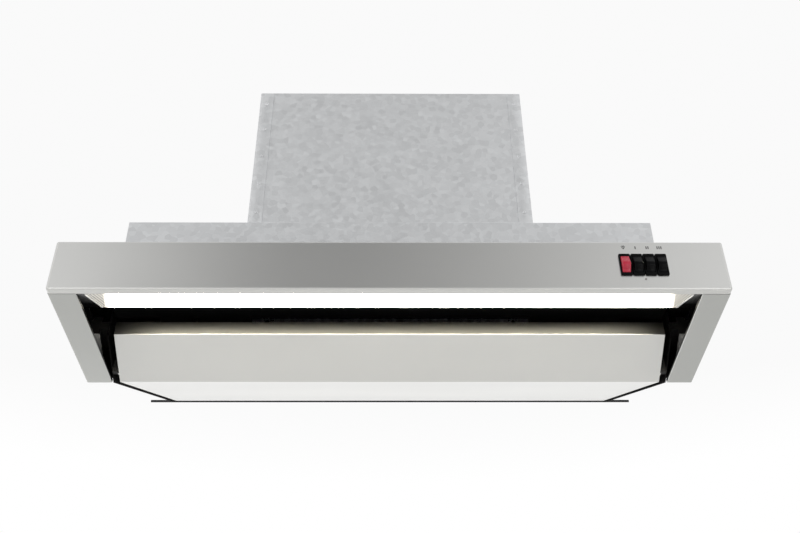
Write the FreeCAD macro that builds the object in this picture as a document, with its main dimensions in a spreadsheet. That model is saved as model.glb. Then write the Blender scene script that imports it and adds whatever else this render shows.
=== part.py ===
"""Pull-out range hood for a 600 mm wall cabinet, in millimetres.

The frame: X to the right, Y from the fascia back to the wall, Z up. The origin is the centre of the four
cabinet screws, on the upper face of the housing's shoulders. The hood is modelled pulled out.
"""

import FreeCAD, Part
import math
import os
import re
import Sketcher

V = FreeCAD.Vector
Rotation = FreeCAD.Rotation

SIZES = [
    # the whole hood
    ("hood_width", 600),
    ("mount_setback", 260),        # fascia face to the middle of the cabinet screws
    ("body_height", 165),          # underside of the arms to the housing's shoulders
    ("body_setback", 109),         # fascia face to the housing's front
    ("body_depth", 300),
    ("gauge", 1.0),                # stainless and painted sheet
    ("running_gap", 0.3),          # between pieces of different bodies that pass each other
    # the pull-out frame
    ("fascia_height", 53),
    ("fascia_return", 12),         # depth of the top and side returns
    ("fascia_flange", 7.5),        # depth of the bottom return
    ("bend_radius", 2.2),
    ("arm_width", 25),
    ("arm_length", 158),           # fascia face to the arms' open ends
    ("arm_hem", 3.5),
    ("pull_travel", 44),
    ("tongue_length", 120),        # fascia face to the rear edge of the ceiling plate
    # the lamp
    ("lamp_depth", 56),
    ("diffuser_rise", 24.4),
    ("diffuser_thick", 2.6),
    ("lamp_margin", 7),            # arm edge to the diffuser's end
    ("tray_gauge", 0.6),
    ("tube_radius", 8),
    ("tube_length", 517),
    ("tube_setback", 38),
    ("tube_height", 33),
    ("tube_pin_radius", 1.2),
    ("tube_pin_spread", 5),
    ("holder_width", 20),
    ("holder_height", 30),
    # the switches
    ("switch_place", 225.2),       # middle of the bank from the hood's middle
    ("switch_height", 26.3),
    ("switch_pitch", 10.8),
    ("switch_frame_width", 10.4),
    ("switch_frame_height", 23.6),
    ("switch_frame_thick", 1.6),
    ("switch_body_width", 9.8),
    ("switch_body_height", 21.4),
    ("switch_body_depth", 22),
    ("rocker_width", 7.5),
    ("rocker_length", 16.6),
    ("rocker_crown", 4.4),         # crown proud of the frame
    ("rocker_tilt", 6),
    ("rocker_pivot_depth", 2.5),
    ("rocker_pin_radius", 1.2),
    ("pilot_radius", 0.9),
    # the slides
    ("rail_width", 8.5),
    ("rail_height", 16),
    ("rail_level", 27),
    ("guide_length", 41),
    ("guide_height", 20),
    ("guide_level", 25),
    ("guide_taper", 6.5),
    ("stem_height", 8),
    # the corner brackets
    ("bracket_level", 38),
    ("bracket_height", 9),
    ("bracket_reach", 26),
    ("bracket_gauge", 1.2),
    ("screw_head_radius", 2.6),
    ("screw_head_height", 2.2),
    # the housing
    ("body_gap", 1.5),             # arm edge to the housing's side
    ("panel_drop", 0.8),           # side panels' lower edges below the underplate
    ("throat_height", 56),         # lower edge of the front panel
    ("trim_thick", 1.5),
    ("trim_height", 2.6),
    ("apron_depth", 48),           # ledge in front of the housing, over the pull-out frame
    ("ledge_lap", 5),              # side ledges over the apron
    ("seal_thick", 4),
    ("seal_height", 12),
    ("screw_pitch_x", 450),
    ("screw_pitch_y", 220),
    ("screw_hole_radius", 2.75),
    ("motor_box_width", 300),
    ("motor_box_depth", 290),
    ("motor_box_height", 200),
    ("box_opening_width", 280),
    ("box_opening_depth", 250),
    # the underplate
    ("plate_gap", 8),              # arm edge to the underplate's edge
    ("lip_height", 14.5),
    ("deflector_run", 48),
    ("deflector_rise", 24.5),
    ("rear_rise", 123),
    ("plate_end_gap", 5),          # underplate's rear edge to the housing's back
    ("plate_flange", 8),
    ("hinge_setback", 16),         # hinge line to the housing's back
    ("hinge_lift", 129),
    ("hinge_pin_radius", 2),
    ("hinge_place", 243),
    ("ear_thick", 2.5),
    ("stud_radius", 2),
    ("stud_setback", 6),           # stud to the keel
    ("stud_height", 7.5),
    ("stud_length", 4.6),
    ("catch_length", 15),
    ("catch_height", 14.5),
    # the grease filter
    ("filter_width", 320),
    ("filter_depth", 268),
    ("filter_thick", 9),
    ("filter_level", 146),
    ("filter_rail", 12),
    ("filter_pin_radius", 3),
    ("filter_pin_length", 7),
    ("clip_thick", 0.8),
    ("clip_place", 100),
    ("clip_width", 20),
    ("clip_foot", 10),
    # the fan
    ("impeller_radius", 70),
    ("impeller_length", 88),
    ("blade_count", 32),
    ("blade_depth", 12),
    ("blade_thick", 1),
    ("hub_radius", 11),
    ("shaft_radius", 4),
    ("scroll_gap", 8),             # impeller to the tongue
    ("scroll_step", 12),           # growth of the spiral in a quarter turn
    ("tongue_setback", 2),         # fan axis to the outlet's front wall
    ("scroll_wall", 1.5),
    ("scroll_half_width", 56),
    ("scroll_inlet_radius", 56),
    ("fan_lift", 105),             # fan axis above the shoulders
    ("fan_setback", 208),          # fan axis behind the fascia
    ("motor_radius", 42),
    ("motor_length", 62),
    ("shield_length", 10),
    ("rotor_radius", 24),
    ("bearing_radius", 11),
    ("bearing_width", 7),
    ("shaft_clearance", 0.05),
    ("grommet_circle", 34),
    ("grommet_radius", 5),
    ("grommet_length", 4),
    # the duct collar
    ("collar_radius", 62),
    ("collar_wall", 1.5),
    ("collar_height", 45),
    ("collar_flange_radius", 75),
    ("stop_ring_height", 14),
    ("stop_ring_width", 2.5),
    ("flap_thick", 1.2),
    ("flap_pin_radius", 1.5),
    ("flap_barrel_radius", 3),
    # the electrics
    ("terminal_box_depth", 80),
    ("terminal_box_width", 38),
    ("terminal_box_height", 60),
    ("gland_bore_radius", 4),
    ("gland_radius", 8),
    ("gland_length", 22),
    ("capacitor_radius", 15),
    ("capacitor_length", 55),
    ("ballast_length", 110),
    ("ballast_width", 40),
    ("ballast_height", 28),
    ("starter_radius", 10.5),
    ("starter_length", 36),
    ("plunger_radius", 1.5),
    ("plunger_reach", 2.1),
]

doc = FreeCAD.newDocument("pull_out_hood")
sheet = doc.addObject("Spreadsheet::Sheet", "Sizes")
for row, (alias, value) in enumerate(SIZES, 1):
    sheet.set(f"A{row}", alias)
    sheet.set(f"B{row}", str(value))
    sheet.setAlias(f"B{row}", alias)
doc.recompute()

WORDS = re.compile(r"\b(" + "|".join(alias for alias, _ in SIZES) + r")\b")

# places that several pieces share, as expressions on the sheet
HALF = "(hood_width/2)"
ARM_EDGE = f"({HALF} - arm_width)"
PANEL = f"({ARM_EDGE} - body_gap)"
PLATE = f"({ARM_EDGE} - plate_gap)"
LAMP_END = f"({ARM_EDGE} - lamp_margin)"
KEEL = "(body_setback + deflector_run)"
REAR = "(body_setback + body_depth)"
SLOPE = "(rear_rise/(body_depth - deflector_run))"
ARM_START = "(fascia_flange + 0.5)"
CEILING = "(fascia_height - 2*gauge)"
BOX_FRONT = "(body_setback + 5)"
COLLAR_Y = "(fan_setback + (impeller_radius + scroll_gap + 3*scroll_step + tongue_setback)/2)"
BOX_TOP = "(body_height + motor_box_height)"
HINGE_Y = f"({REAR} - hinge_setback)"
FILTER_REAR = f"({REAR} - 14)"
FAN_Z = "(body_height + fan_lift)"
MOTOR_END = "(scroll_half_width + grommet_length)"
FLAP_Z = f"({BOX_TOP} + stop_ring_height + 1 + running_gap)"
LAMP_REAR = f"({ARM_START} + lamp_depth)"
PILOT_Z = "(switch_height - switch_frame_height/2 - 3.7)"
STUD_Y = f"({KEEL} - stud_setback)"
TERMINAL_Y = f"({BOX_FRONT} + motor_box_depth - 60)"
TERMINAL_Z = "(body_height + 70)"

SHIFT = {"x": "0", "y": "-mount_setback", "z": "-body_height"}
TURN = {"x": Rotation(V(0, 1, 0), 90), "y": Rotation(V(1, 0, 0), -90), "z": Rotation()}
PLANES = {"yz": Rotation(V(1, 1, 1), 120), "xz": Rotation(V(1, 0, 0), 90), "xy": Rotation()}
NORMAL = {"yz": "x", "xz": "y", "xy": "z"}
UNIT = {"x": V(1, 0, 0), "y": V(0, 1, 0), "z": V(0, 0, 1)}


def bound(text):
    """The text with each size read from the sheet."""
    return WORDS.sub(r"Sizes.\1", text)


def number(text):
    found = sheet.evalExpression(bound(text))
    return float(getattr(found, "Value", found))


def bind(thing, prop, text):
    thing.setExpression(prop, bound(text))


def put(thing, **places):
    """Sets the thing's place; y is measured from the fascia's face and z from the arms' underside."""
    for axis, text in places.items():
        bind(thing, f"Placement.Base.{axis}", f"{SHIFT[axis]} + {text}")
    return thing


def box(name, x, y, z):
    made = doc.addObject("Part::Box", name)
    for prop, (low, high) in (("Length", x), ("Width", y), ("Height", z)):
        bind(made, prop, f"{high} - ({low})")
    return put(made, x=x[0], y=y[0], z=z[0])


def rod(name, axis, centre, radius, span):
    """A round bar along an axis, between the two ends of its span."""
    made = doc.addObject("Part::Cylinder", name)
    made.Placement = FreeCAD.Placement(V(), TURN[axis])
    bind(made, "Radius", radius)
    bind(made, "Height", f"{span[1]} - ({span[0]})")
    across = [a for a in "xyz" if a != axis]
    return put(made, **{axis: span[0], across[0]: centre[0], across[1]: centre[1]})


def tube(name, axis, centre, radii, span):
    return cut(name, rod(name + "_outside", axis, centre, radii[1], span),
               rod(name + "_bore", axis, centre, radii[0], span))


def cut(name, base, *tools):
    made = doc.addObject("Part::Cut", name)
    made.Base = base
    made.Tool = tools[0] if len(tools) == 1 else fuse(name + "_tools", *tools)
    return made


def fuse(name, *parts):
    made = doc.addObject("Part::MultiFuse", name)
    made.Shapes = list(parts)
    made.Refine = True
    return made


def group(name, *parts):
    made = doc.addObject("Part::Compound", name)
    made.Links = list(parts)
    return made


def mirrored(name, source):
    made = doc.addObject("Part::Mirroring", name)
    made.Source = source
    made.Normal = V(1, 0, 0)
    return made


def outline(name, plane, points, closed=True):
    """A sketch through the points, each held to the sheet's sizes."""
    sketch = doc.addObject("Sketcher::SketchObject", name)
    sketch.Placement = FreeCAD.Placement(V(), PLANES[plane])
    shifts = [SHIFT[axis] for axis in plane]
    texts = [[f"{shift} + {text}" for shift, text in zip(shifts, point)] for point in points]
    flat = [V(number(a), number(b), 0) for a, b in texts]
    count = len(flat)
    lines = count if closed else count - 1
    for i in range(lines):
        sketch.addGeometry(Part.LineSegment(flat[i], flat[(i + 1) % count]), False)
    for i in range(lines if closed else lines - 1):
        sketch.addConstraint(Sketcher.Constraint("Coincident", i, 2, (i + 1) % lines, 1))
    for i, pair in enumerate(texts):
        line, end = (i, 1) if i < lines else (i - 1, 2)
        for kind, text, value in zip(("DistanceX", "DistanceY"), pair, (flat[i].x, flat[i].y)):
            held = sketch.addConstraint(Sketcher.Constraint(kind, -1, 1, line, end, value))
            bind(sketch, f"Constraints[{held}]", text)
    return sketch


def extrude(name, profile, axis, span):
    made = doc.addObject("Part::Extrusion", name)
    made.Base = profile
    made.DirMode = "Custom"
    made.Dir = UNIT[axis]
    made.Solid = True
    bind(made, "LengthFwd", f"{span[1]} - ({span[0]})")
    bind(made, f"Placement.Base.{axis}", f"{SHIFT[axis]} + {span[0]}")
    return made


def slab(name, plane, points, span):
    """A flat-sided piece: a closed outline carried along the plane's normal."""
    return extrude(name, outline(name + "_outline", plane, points), NORMAL[plane], span)


def folded(name, plane, points, thick, span):
    """A folded sheet: an open line thickened to one side, carried along the plane's normal."""
    line = outline(name + "_line", plane, points, closed=False)
    thickened = doc.addObject("Part::Offset2D", name + "_section")
    thickened.Source = line
    bind(thickened, "Value", thick)
    thickened.Mode = "Skin"
    thickened.Fill = True
    thickened.Join = "Arc"
    return extrude(name, thickened, NORMAL[plane], span)


def part_body(name):
    return doc.addObject("PartDesign::Body", name)


def sketch_in(body, name, role, offset="0"):
    made = body.newObject("Sketcher::SketchObject", name)
    plane = next(f for f in body.Origin.OriginFeatures if f.Role == role)
    made.AttachmentSupport = [(plane, "")]
    made.MapMode = "FlatFace"
    bind(made, "AttachmentOffset.Base.z", offset)
    return made


def ring(sketch, centre, radius):
    """A circle held to the sheet's sizes."""
    x, y, r = (number(text) for text in (*centre, radius))
    circle = sketch.addGeometry(Part.Circle(V(x, y, 0), V(0, 0, 1), r), False)
    for kind, text, value in (("DistanceX", centre[0], x), ("DistanceY", centre[1], y)):
        held = sketch.addConstraint(Sketcher.Constraint(kind, -1, 1, circle, 3, value))
        bind(sketch, f"Constraints[{held}]", text)
    held = sketch.addConstraint(Sketcher.Constraint("Radius", circle, r))
    bind(sketch, f"Constraints[{held}]", radius)


def path(sketch, points):
    """A closed line through the points, in the sketch's own plane."""
    flat = [V(number(a), number(b), 0) for a, b in points]
    first = sketch.GeometryCount
    count = len(flat)
    for i in range(count):
        sketch.addGeometry(Part.LineSegment(flat[i], flat[(i + 1) % count]), False)
    for i in range(count):
        sketch.addConstraint(Sketcher.Constraint("Coincident", first + i, 2, first + (i + 1) % count, 1))
    for i, pair in enumerate(points):
        for kind, text, value in zip(("DistanceX", "DistanceY"), pair, (flat[i].x, flat[i].y)):
            held = sketch.addConstraint(Sketcher.Constraint(kind, -1, 1, first + i, 1, value))
            bind(sketch, f"Constraints[{held}]", text)


def rectangle(sketch, x, y):
    path(sketch, [(x[0], y[0]), (x[1], y[0]), (x[1], y[1]), (x[0], y[1])])


def feature(body, kind, name, profile, length=None):
    made = body.newObject(f"PartDesign::{kind}", name)
    made.Profile = profile
    if length:
        bind(made, "Length", length)
    return made


def turned(name, points, axis="V_Axis", role="XZ_Plane"):
    """A turned piece: a half section spun about an axis of its own sketch."""
    body = part_body(name)
    section = sketch_in(body, name + "_section", role)
    path(section, points)
    spun = body.newObject("PartDesign::Revolution", name + "_turned")
    spun.Profile = section
    spun.ReferenceAxis = (section, [axis])
    spun.Angle = 360
    return body


# --------------------------------------------------------------------------- the pull-out frame


def make_fascia():
    outside = box("fascia_block", (f"-{HALF}", HALF), ("0", "fascia_return"), ("0", "fascia_height"))
    inside = box("fascia_hollow", (f"-{HALF} + gauge", f"{HALF} - gauge"), ("gauge", "fascia_return + 1"),
                 ("gauge", "fascia_height - gauge"))
    doc.recompute()
    bent = []
    for block, radius in ((outside, "bend_radius"), (inside, "(bend_radius - gauge)")):
        bends = doc.addObject("Part::Fillet", block.Name + "_bends")
        bends.Base = block
        front = min(v.Point.y for v in block.Shape.Vertexes)
        size = number(radius)
        bends.Edges = [(i, size, size) for i, edge in enumerate(block.Shape.Edges, 1)
                       if min(v.Point.y for v in edge.Vertexes) < front + 0.01]
        bent.append(bends)
    half = "(1.5*switch_pitch + switch_body_width/2 + 0.2)"
    window = box("fascia_window", (f"switch_place - {half}", f"switch_place + {half}"), ("-1", "gauge + 1"),
                 ("switch_height - switch_body_height/2 - 0.2", "switch_height + switch_body_height/2 + 0.2"))
    relief = box("fascia_relief", (f"-{HALF} - 1", f"{HALF} + 1"), ("fascia_flange", "fascia_return + 1"),
                 ("-1", "gauge + bend_radius"))
    light = rod("fascia_pilot_hole", "y", ("switch_place", PILOT_Z), "pilot_radius + 0.1", ("-1", "gauge + 1"))
    return cut("fascia", bent[0], bent[1], window, relief, light)


def make_arms():
    edge = f"({ARM_EDGE} + gauge)"
    wall = f"({HALF} - gauge)"
    top = "(fascia_height - gauge)"
    section = [(edge, "arm_hem"), (edge, "gauge"), (wall, "gauge"), (wall, top), (f"({PANEL} + 0.5)", top)]
    bar = folded("arm_bar", "xz", section, "-gauge", (ARM_START, "arm_length"))
    corner = box("arm_corner", (f"{ARM_EDGE} - 1", f"{HALF} + 1"), ("0", "fascia_return + 0.3"),
                 ("gauge + bend_radius", "fascia_height + 1"))
    right = cut("arm_right", bar, corner)
    return [right, mirrored("arm_left", right)]


def make_fascia_brackets():
    wall = f"({HALF} - gauge)"
    corner = (f"({wall} - bracket_gauge)", "(gauge + bracket_gauge)")
    section = [(f"({HALF} - bracket_reach)", corner[1]), corner, (corner[0], "(bracket_reach + fascia_return - 4)")]
    angle = folded("bracket_angle", "xy", section, "bracket_gauge",
                   ("bracket_level", "bracket_level + bracket_height"))
    pair = group("fascia_brackets", angle, mirrored("bracket_angle_left", angle))
    level = "(bracket_level + bracket_height/2)"
    front = rod("screw_front", "y", (f"({HALF} - 15)", level), "screw_head_radius",
                (corner[1], f"{corner[1]} + screw_head_height"))
    side = rod("screw_side", "x", ("bracket_reach", level), "screw_head_radius",
               (f"{corner[0]} - screw_head_height", corner[0]))
    screws = group("fascia_screws", front, side, mirrored("screw_front_left", front),
                   mirrored("screw_side_left", side))
    return [pair, screws]


def make_ceiling_plate():
    wide = f"({HALF} - bend_radius - 0.2)"
    narrow = f"({PANEL} - gauge - body_gap)"
    step = "(body_setback - pull_travel - 3)"
    front = "(bend_radius + running_gap)"
    points = [(f"-{wide}", front), (wide, front), (wide, step), (narrow, step),
              (narrow, "tongue_length"), (f"-{narrow}", "tongue_length"), (f"-{narrow}", step),
              (f"-{wide}", step)]
    return slab("ceiling_plate", "xy", points, (CEILING, f"{CEILING} + gauge"))


def make_rails():
    """Channels inside the arms, open towards the housing, each with a stop that closes the arm's end."""
    inner = f"({HALF} - gauge - rail_width)"
    web = f"({HALF} - 2*gauge)"
    top = "(rail_level + rail_height - gauge)"
    low = "(rail_level + gauge)"
    section = [(inner, low), (web, low), (web, top), (inner, top)]
    channel = folded("rail_channel", "xz", section, "-gauge", (f"({LAMP_REAR} + 2)", "(arm_length - 1)"))
    stop = box("rail_stop", (ARM_EDGE, f"{HALF} - gauge"), ("arm_length - 1 - gauge", "arm_length - 1"),
               ("arm_hem + gauge", "fascia_height - gauge"))
    right = fuse("slide_rail_right", channel, stop)
    return [right, mirrored("slide_rail_left", right)]


def make_guides():
    """Blocks on the housing's sides, each with a stem, a tapered shoulder and a tongue in the arm's channel."""
    start = "body_setback"
    end = "(body_setback + guide_length)"
    shoulder = f"({HALF} - gauge - rail_width - 1)"
    neck = f"({PANEL} + 2 + guide_taper)"
    plate = extrude("guide_shoulder", outline("guide_shoulder_outline", "xy", [
        (f"({neck} - 1)", start), (shoulder, start), (shoulder, end), (f"({neck} + guide_taper - 2)", end)]),
        "z", ("guide_level", "guide_level + guide_height"))
    middle = "(guide_level + guide_height/2)"
    stem = box("guide_stem", (PANEL, f"{shoulder} - 1"), (start, end),
               (f"{middle} - stem_height/2", f"{middle} + stem_height/2"))
    tongue = box("guide_tongue", (f"{shoulder} - 1", f"{HALF} - 2*gauge - running_gap"), (start, end),
                 ("rail_level + gauge + running_gap", "rail_level + rail_height - gauge - running_gap"))
    right = fuse("guide_right", plate, stem, tongue)
    return group("slide_guides", right, mirrored("guide_left", right))


# --------------------------------------------------------------------------- the lamp

def diffuser_line(y):
    """Height of the diffuser's lower face at a distance behind the fascia."""
    return f"(0.4 + ({y} - {ARM_START})*diffuser_rise/lamp_depth)"


def make_lamp_tray():
    front = f"({ARM_START} + 0.2 + tray_gauge)"
    rear = f"({LAMP_REAR} - tray_gauge)"
    roof = f"({CEILING} - tray_gauge)"
    section = [(front, "5.5"), (front, roof), (rear, roof), (rear, "(diffuser_rise + 1.5)")]
    sheet_part = folded("tray_sheet", "yz", section, "-tray_gauge", (f"-{LAMP_END}", LAMP_END))
    half = "(1.5*switch_pitch + switch_body_width/2 + 1)"
    notch = box("tray_switch_notch", (f"switch_place - {half}", f"switch_place + {half}"),
                ("0", "switch_body_depth + 2"),
                ("switch_height - switch_body_height/2 - 1", "switch_height + switch_body_height/2 + 1"))
    return cut("lamp_tray", sheet_part, notch)


def make_diffuser():
    rear = f"({LAMP_REAR} - tray_gauge - 0.4)"
    points = [(ARM_START, diffuser_line(ARM_START)), (rear, diffuser_line(rear)),
              (rear, f"({diffuser_line(rear)} + diffuser_thick)"),
              (ARM_START, f"({diffuser_line(ARM_START)} + diffuser_thick)")]
    return slab("lamp_diffuser", "yz", points, (f"-{LAMP_END}", LAMP_END))


def make_end_caps():
    front = f"({ARM_START} + 0.2)"
    points = [(front, diffuser_line(front)), (LAMP_REAR, diffuser_line(LAMP_REAR)), (LAMP_REAR, CEILING),
              (front, CEILING)]
    inner = f"({LAMP_END} + running_gap)"
    outer = f"({HALF} - gauge - 2)"
    block = slab("end_cap_block", "yz", points, (inner, outer))
    step = box("end_cap_step", (f"{ARM_EDGE} - running_gap", f"{HALF} + 1"), ("0", LAMP_REAR),
               ("-1", "arm_hem + 0.7"))
    hollow = box("end_cap_hollow", (f"{inner} + 8", f"{HALF} + 1"), (f"{front} + 10", f"{LAMP_REAR} - 2"),
                 ("diffuser_rise + 4", f"{CEILING} - 2"))
    right = cut("end_cap_right", block, step, hollow)
    return group("lamp_end_caps", right, mirrored("end_cap_left", right))


def make_tube_and_holders():
    end = "(tube_length/2)"
    glass = rod("tube_glass", "x", ("tube_setback", "tube_height"), "tube_radius", (f"-{end} + 3", f"{end} - 3"))
    tube_parts = [glass]
    holders = []
    for side, sign in (("left", "-"), ("right", "")):
        cap = rod(f"tube_cap_{side}", "x", ("tube_setback", "tube_height"), "tube_radius + 0.2",
                  (f"-{end}", f"-{end} + 12") if sign else (f"{end} - 12", end))
        block = box(f"holder_block_{side}", (f"-{LAMP_END}", f"-{end} - running_gap") if sign else
                    (f"{end} + running_gap", LAMP_END),
                    ("tube_setback - holder_width/2", "tube_setback + holder_width/2"),
                    (f"{CEILING} - tray_gauge - holder_height", f"{CEILING} - tray_gauge"))
        pins = []
        holes = []
        for i, shift in enumerate(("-", "+")):
            place = (f"tube_setback {shift} tube_pin_spread/2", "tube_height")
            pins.append(rod(f"tube_pin_{side}_{i}", "x", place, "tube_pin_radius",
                            (f"-{end} - 7", f"-{end} + 2") if sign else (f"{end} - 2", f"{end} + 7")))
            holes.append(rod(f"holder_hole_{side}_{i}", "x", place, "tube_pin_radius + 0.1",
                             (f"-{end} - 7.5", f"-{end} + 1") if sign else (f"{end} - 1", f"{end} + 7.5")))
        tube_parts += [cap, *pins]
        holders.append(cut(f"holder_{side}", block, *holes))
    return [fuse("lamp_tube", *tube_parts), group("lampholders", *holders)]


# --------------------------------------------------------------------------- the switches

PIVOT_Y = "rocker_pivot_depth"
ROCKERS = ["rocker_light", "rocker_low", "rocker_medium", "rocker_high"]


def switch_x(i):
    return f"(switch_place + {i - 1.5}*switch_pitch)"


def make_switch_bodies():
    made = []
    for i in range(len(ROCKERS)):
        x = switch_x(i)
        frame = box(f"switch_frame_{i}", (f"{x} - switch_frame_width/2", f"{x} + switch_frame_width/2"),
                    ("-switch_frame_thick", "0"),
                    ("switch_height - switch_frame_height/2", "switch_height + switch_frame_height/2"))
        block = box(f"switch_block_{i}", (f"{x} - switch_body_width/2", f"{x} + switch_body_width/2"),
                    ("-switch_frame_thick/2", "switch_body_depth"),
                    ("switch_height - switch_body_height/2", "switch_height + switch_body_height/2"))
        well = box(f"switch_well_{i}", (f"{x} - rocker_width/2 - 0.15", f"{x} + rocker_width/2 + 0.15"),
                   ("-switch_frame_thick - 1", "rocker_pivot_depth + 6"),
                   ("switch_height - rocker_length/2 - 0.8", "switch_height + rocker_length/2 + 0.8"))
        hole = rod(f"switch_pivot_{i}", "x", (PIVOT_Y, "switch_height"), "rocker_pin_radius + shaft_clearance",
                   (f"{x} - switch_body_width/2 - 1", f"{x} + switch_body_width/2 + 1"))
        made.append(cut(f"switch_{i}", fuse(f"switch_solid_{i}", frame, block), well, hole))
    return group("switch_bodies", *made)


def make_rocker(i, name):
    """A rocker with its crown and two stub axles, tilted to its off side."""
    body = part_body(name)
    section = sketch_in(body, name + "_section", "YZ_Plane", "-rocker_width/2")
    top = "(rocker_length/2)"
    face = "(-rocker_pivot_depth - switch_frame_thick)"
    path(section, [(f"({face} - 0.4)", top), (f"({face} - 0.4)", f"({top} - 1.2)"),
                   (f"({face} - rocker_crown + 0.3)", "0.6"), (f"({face} - rocker_crown)", "-1"),
                   (f"({face} - rocker_crown + 0.5)", "-2.4"), (f"({face} - 0.4)", f"(1.2 - {top})"),
                   (f"({face} - 0.4)", f"-{top}"), ("1", f"-{top}"), ("4", "-3"), ("4", "3"), ("1", top)])
    feature(body, "Pad", name + "_pad", section, "rocker_width")
    stub = sketch_in(body, name + "_stub", "YZ_Plane", "-rocker_width/2 - 0.8")
    ring(stub, ("0", "0"), "rocker_pin_radius")
    feature(body, "Pad", name + "_axle", stub, "rocker_width + 1.6")
    body.Placement = FreeCAD.Placement(V(), Rotation(V(1, 0, 0), 1))
    bind(body, "Placement.Rotation.Angle", "rocker_tilt")
    return put(body, x=switch_x(i), y=PIVOT_Y, z="switch_height")


# --------------------------------------------------------------------------- the housing


def make_side_panels():
    """The housing's sides, each with a short ledge over the arm that carries on the front panel's apron."""
    points = [("body_setback", "(deflector_rise - panel_drop)"), (KEEL, "-panel_drop"),
              (REAR, "(rear_rise - panel_drop)"), (REAR, "body_height"), ("body_setback", "body_height")]
    side = slab("side_sheet", "yz", points, (f"{PANEL} - gauge", PANEL))
    ledge = box("side_ledge", (f"{PANEL} - gauge", f"{HALF} - gauge"), ("body_setback - ledge_lap", "arm_length"),
                ("throat_height + gauge", "throat_height + 2*gauge"))
    right = fuse("side_panel_right", side, ledge)
    return [right, mirrored("side_panel_left", right)]


def make_front_and_back():
    inside = f"({PANEL} - gauge)"
    wall = box("front_wall", (f"-{inside}", inside), ("body_setback", "body_setback + gauge"),
               ("throat_height", "body_height"))
    apron = box("front_apron", (f"-{HALF} + gauge", f"{HALF} - gauge"), ("body_setback - apron_depth", "body_setback"),
                ("throat_height", "throat_height + gauge"))
    front = fuse("front_panel", wall, apron)
    behind = "(body_setback + gauge)"
    seal = box("front_seal", (f"-{inside} + 2*gauge", f"{inside} - 2*gauge"), (behind, f"{behind} + seal_thick"),
               (f"{CEILING} + gauge + running_gap", "throat_height + seal_height"))
    back = box("back_panel", (f"-{inside}", inside), (f"{REAR} - gauge", REAR), ("rear_rise", "body_height"))
    trim = box("rear_trim", (f"-{HALF}", HALF), (REAR, f"{REAR} + trim_thick"),
               ("rear_rise - gauge", "rear_rise - gauge + trim_height"))
    return [front, seal, back, trim]


def make_top_panel():
    """The housing's top, with the opening under the motor box and the four cabinet screw holes."""
    body = part_body("top_panel")
    inside = f"({PANEL} - gauge)"
    sheet_outline = sketch_in(body, "top_outline", "XY_Plane", "-gauge")
    rectangle(sheet_outline, (f"-{inside}", inside),
              ("-mount_setback + body_setback + gauge", f"-mount_setback + {REAR} - gauge"))
    feature(body, "Pad", "top_pad", sheet_outline, "gauge")
    opening = sketch_in(body, "top_opening", "XY_Plane")
    middle = f"(-mount_setback + {BOX_FRONT} + motor_box_depth/2)"
    rectangle(opening, ("-box_opening_width/2", "box_opening_width/2"),
              (f"{middle} - box_opening_depth/2", f"{middle} + box_opening_depth/2"))
    feature(body, "Pocket", "top_opening_cut", opening, "2*gauge")
    holes = sketch_in(body, "top_holes", "XY_Plane")
    for across in ("-", ""):
        for along in ("-", ""):
            ring(holes, (f"{across}screw_pitch_x/2", f"{along}screw_pitch_y/2"), "screw_hole_radius")
    feature(body, "Pocket", "top_holes_cut", holes, "2*gauge")
    return body


def make_motor_box():
    half = "(motor_box_width/2)"
    front = BOX_FRONT
    back = f"({BOX_FRONT} + motor_box_depth)"
    shell = box("motor_box_shell", (f"-{half}", half), (front, back), ("body_height", BOX_TOP))
    hollow = box("motor_box_hollow", (f"-{half} + gauge", f"{half} - gauge"),
                 (f"{front} + gauge", f"{back} - gauge"), ("body_height - 1", f"{BOX_TOP} - gauge"))
    outlet = rod("motor_box_outlet", "z", ("0", COLLAR_Y), "collar_radius - collar_wall",
                 (f"{BOX_TOP} - 5", f"{BOX_TOP} + 5"))
    lead = rod("motor_box_lead", "x", (TERMINAL_Y, TERMINAL_Z), "7", (f"-{half} - 1", f"-{half} + 5"))
    return cut("motor_box", shell, hollow, outlet, lead)


# --------------------------------------------------------------------------- the underplate


def rear_line(y):
    """Height of the underplate's lower face at a distance behind the fascia."""
    return f"(({y} - {KEEL})*{SLOPE})"


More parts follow.
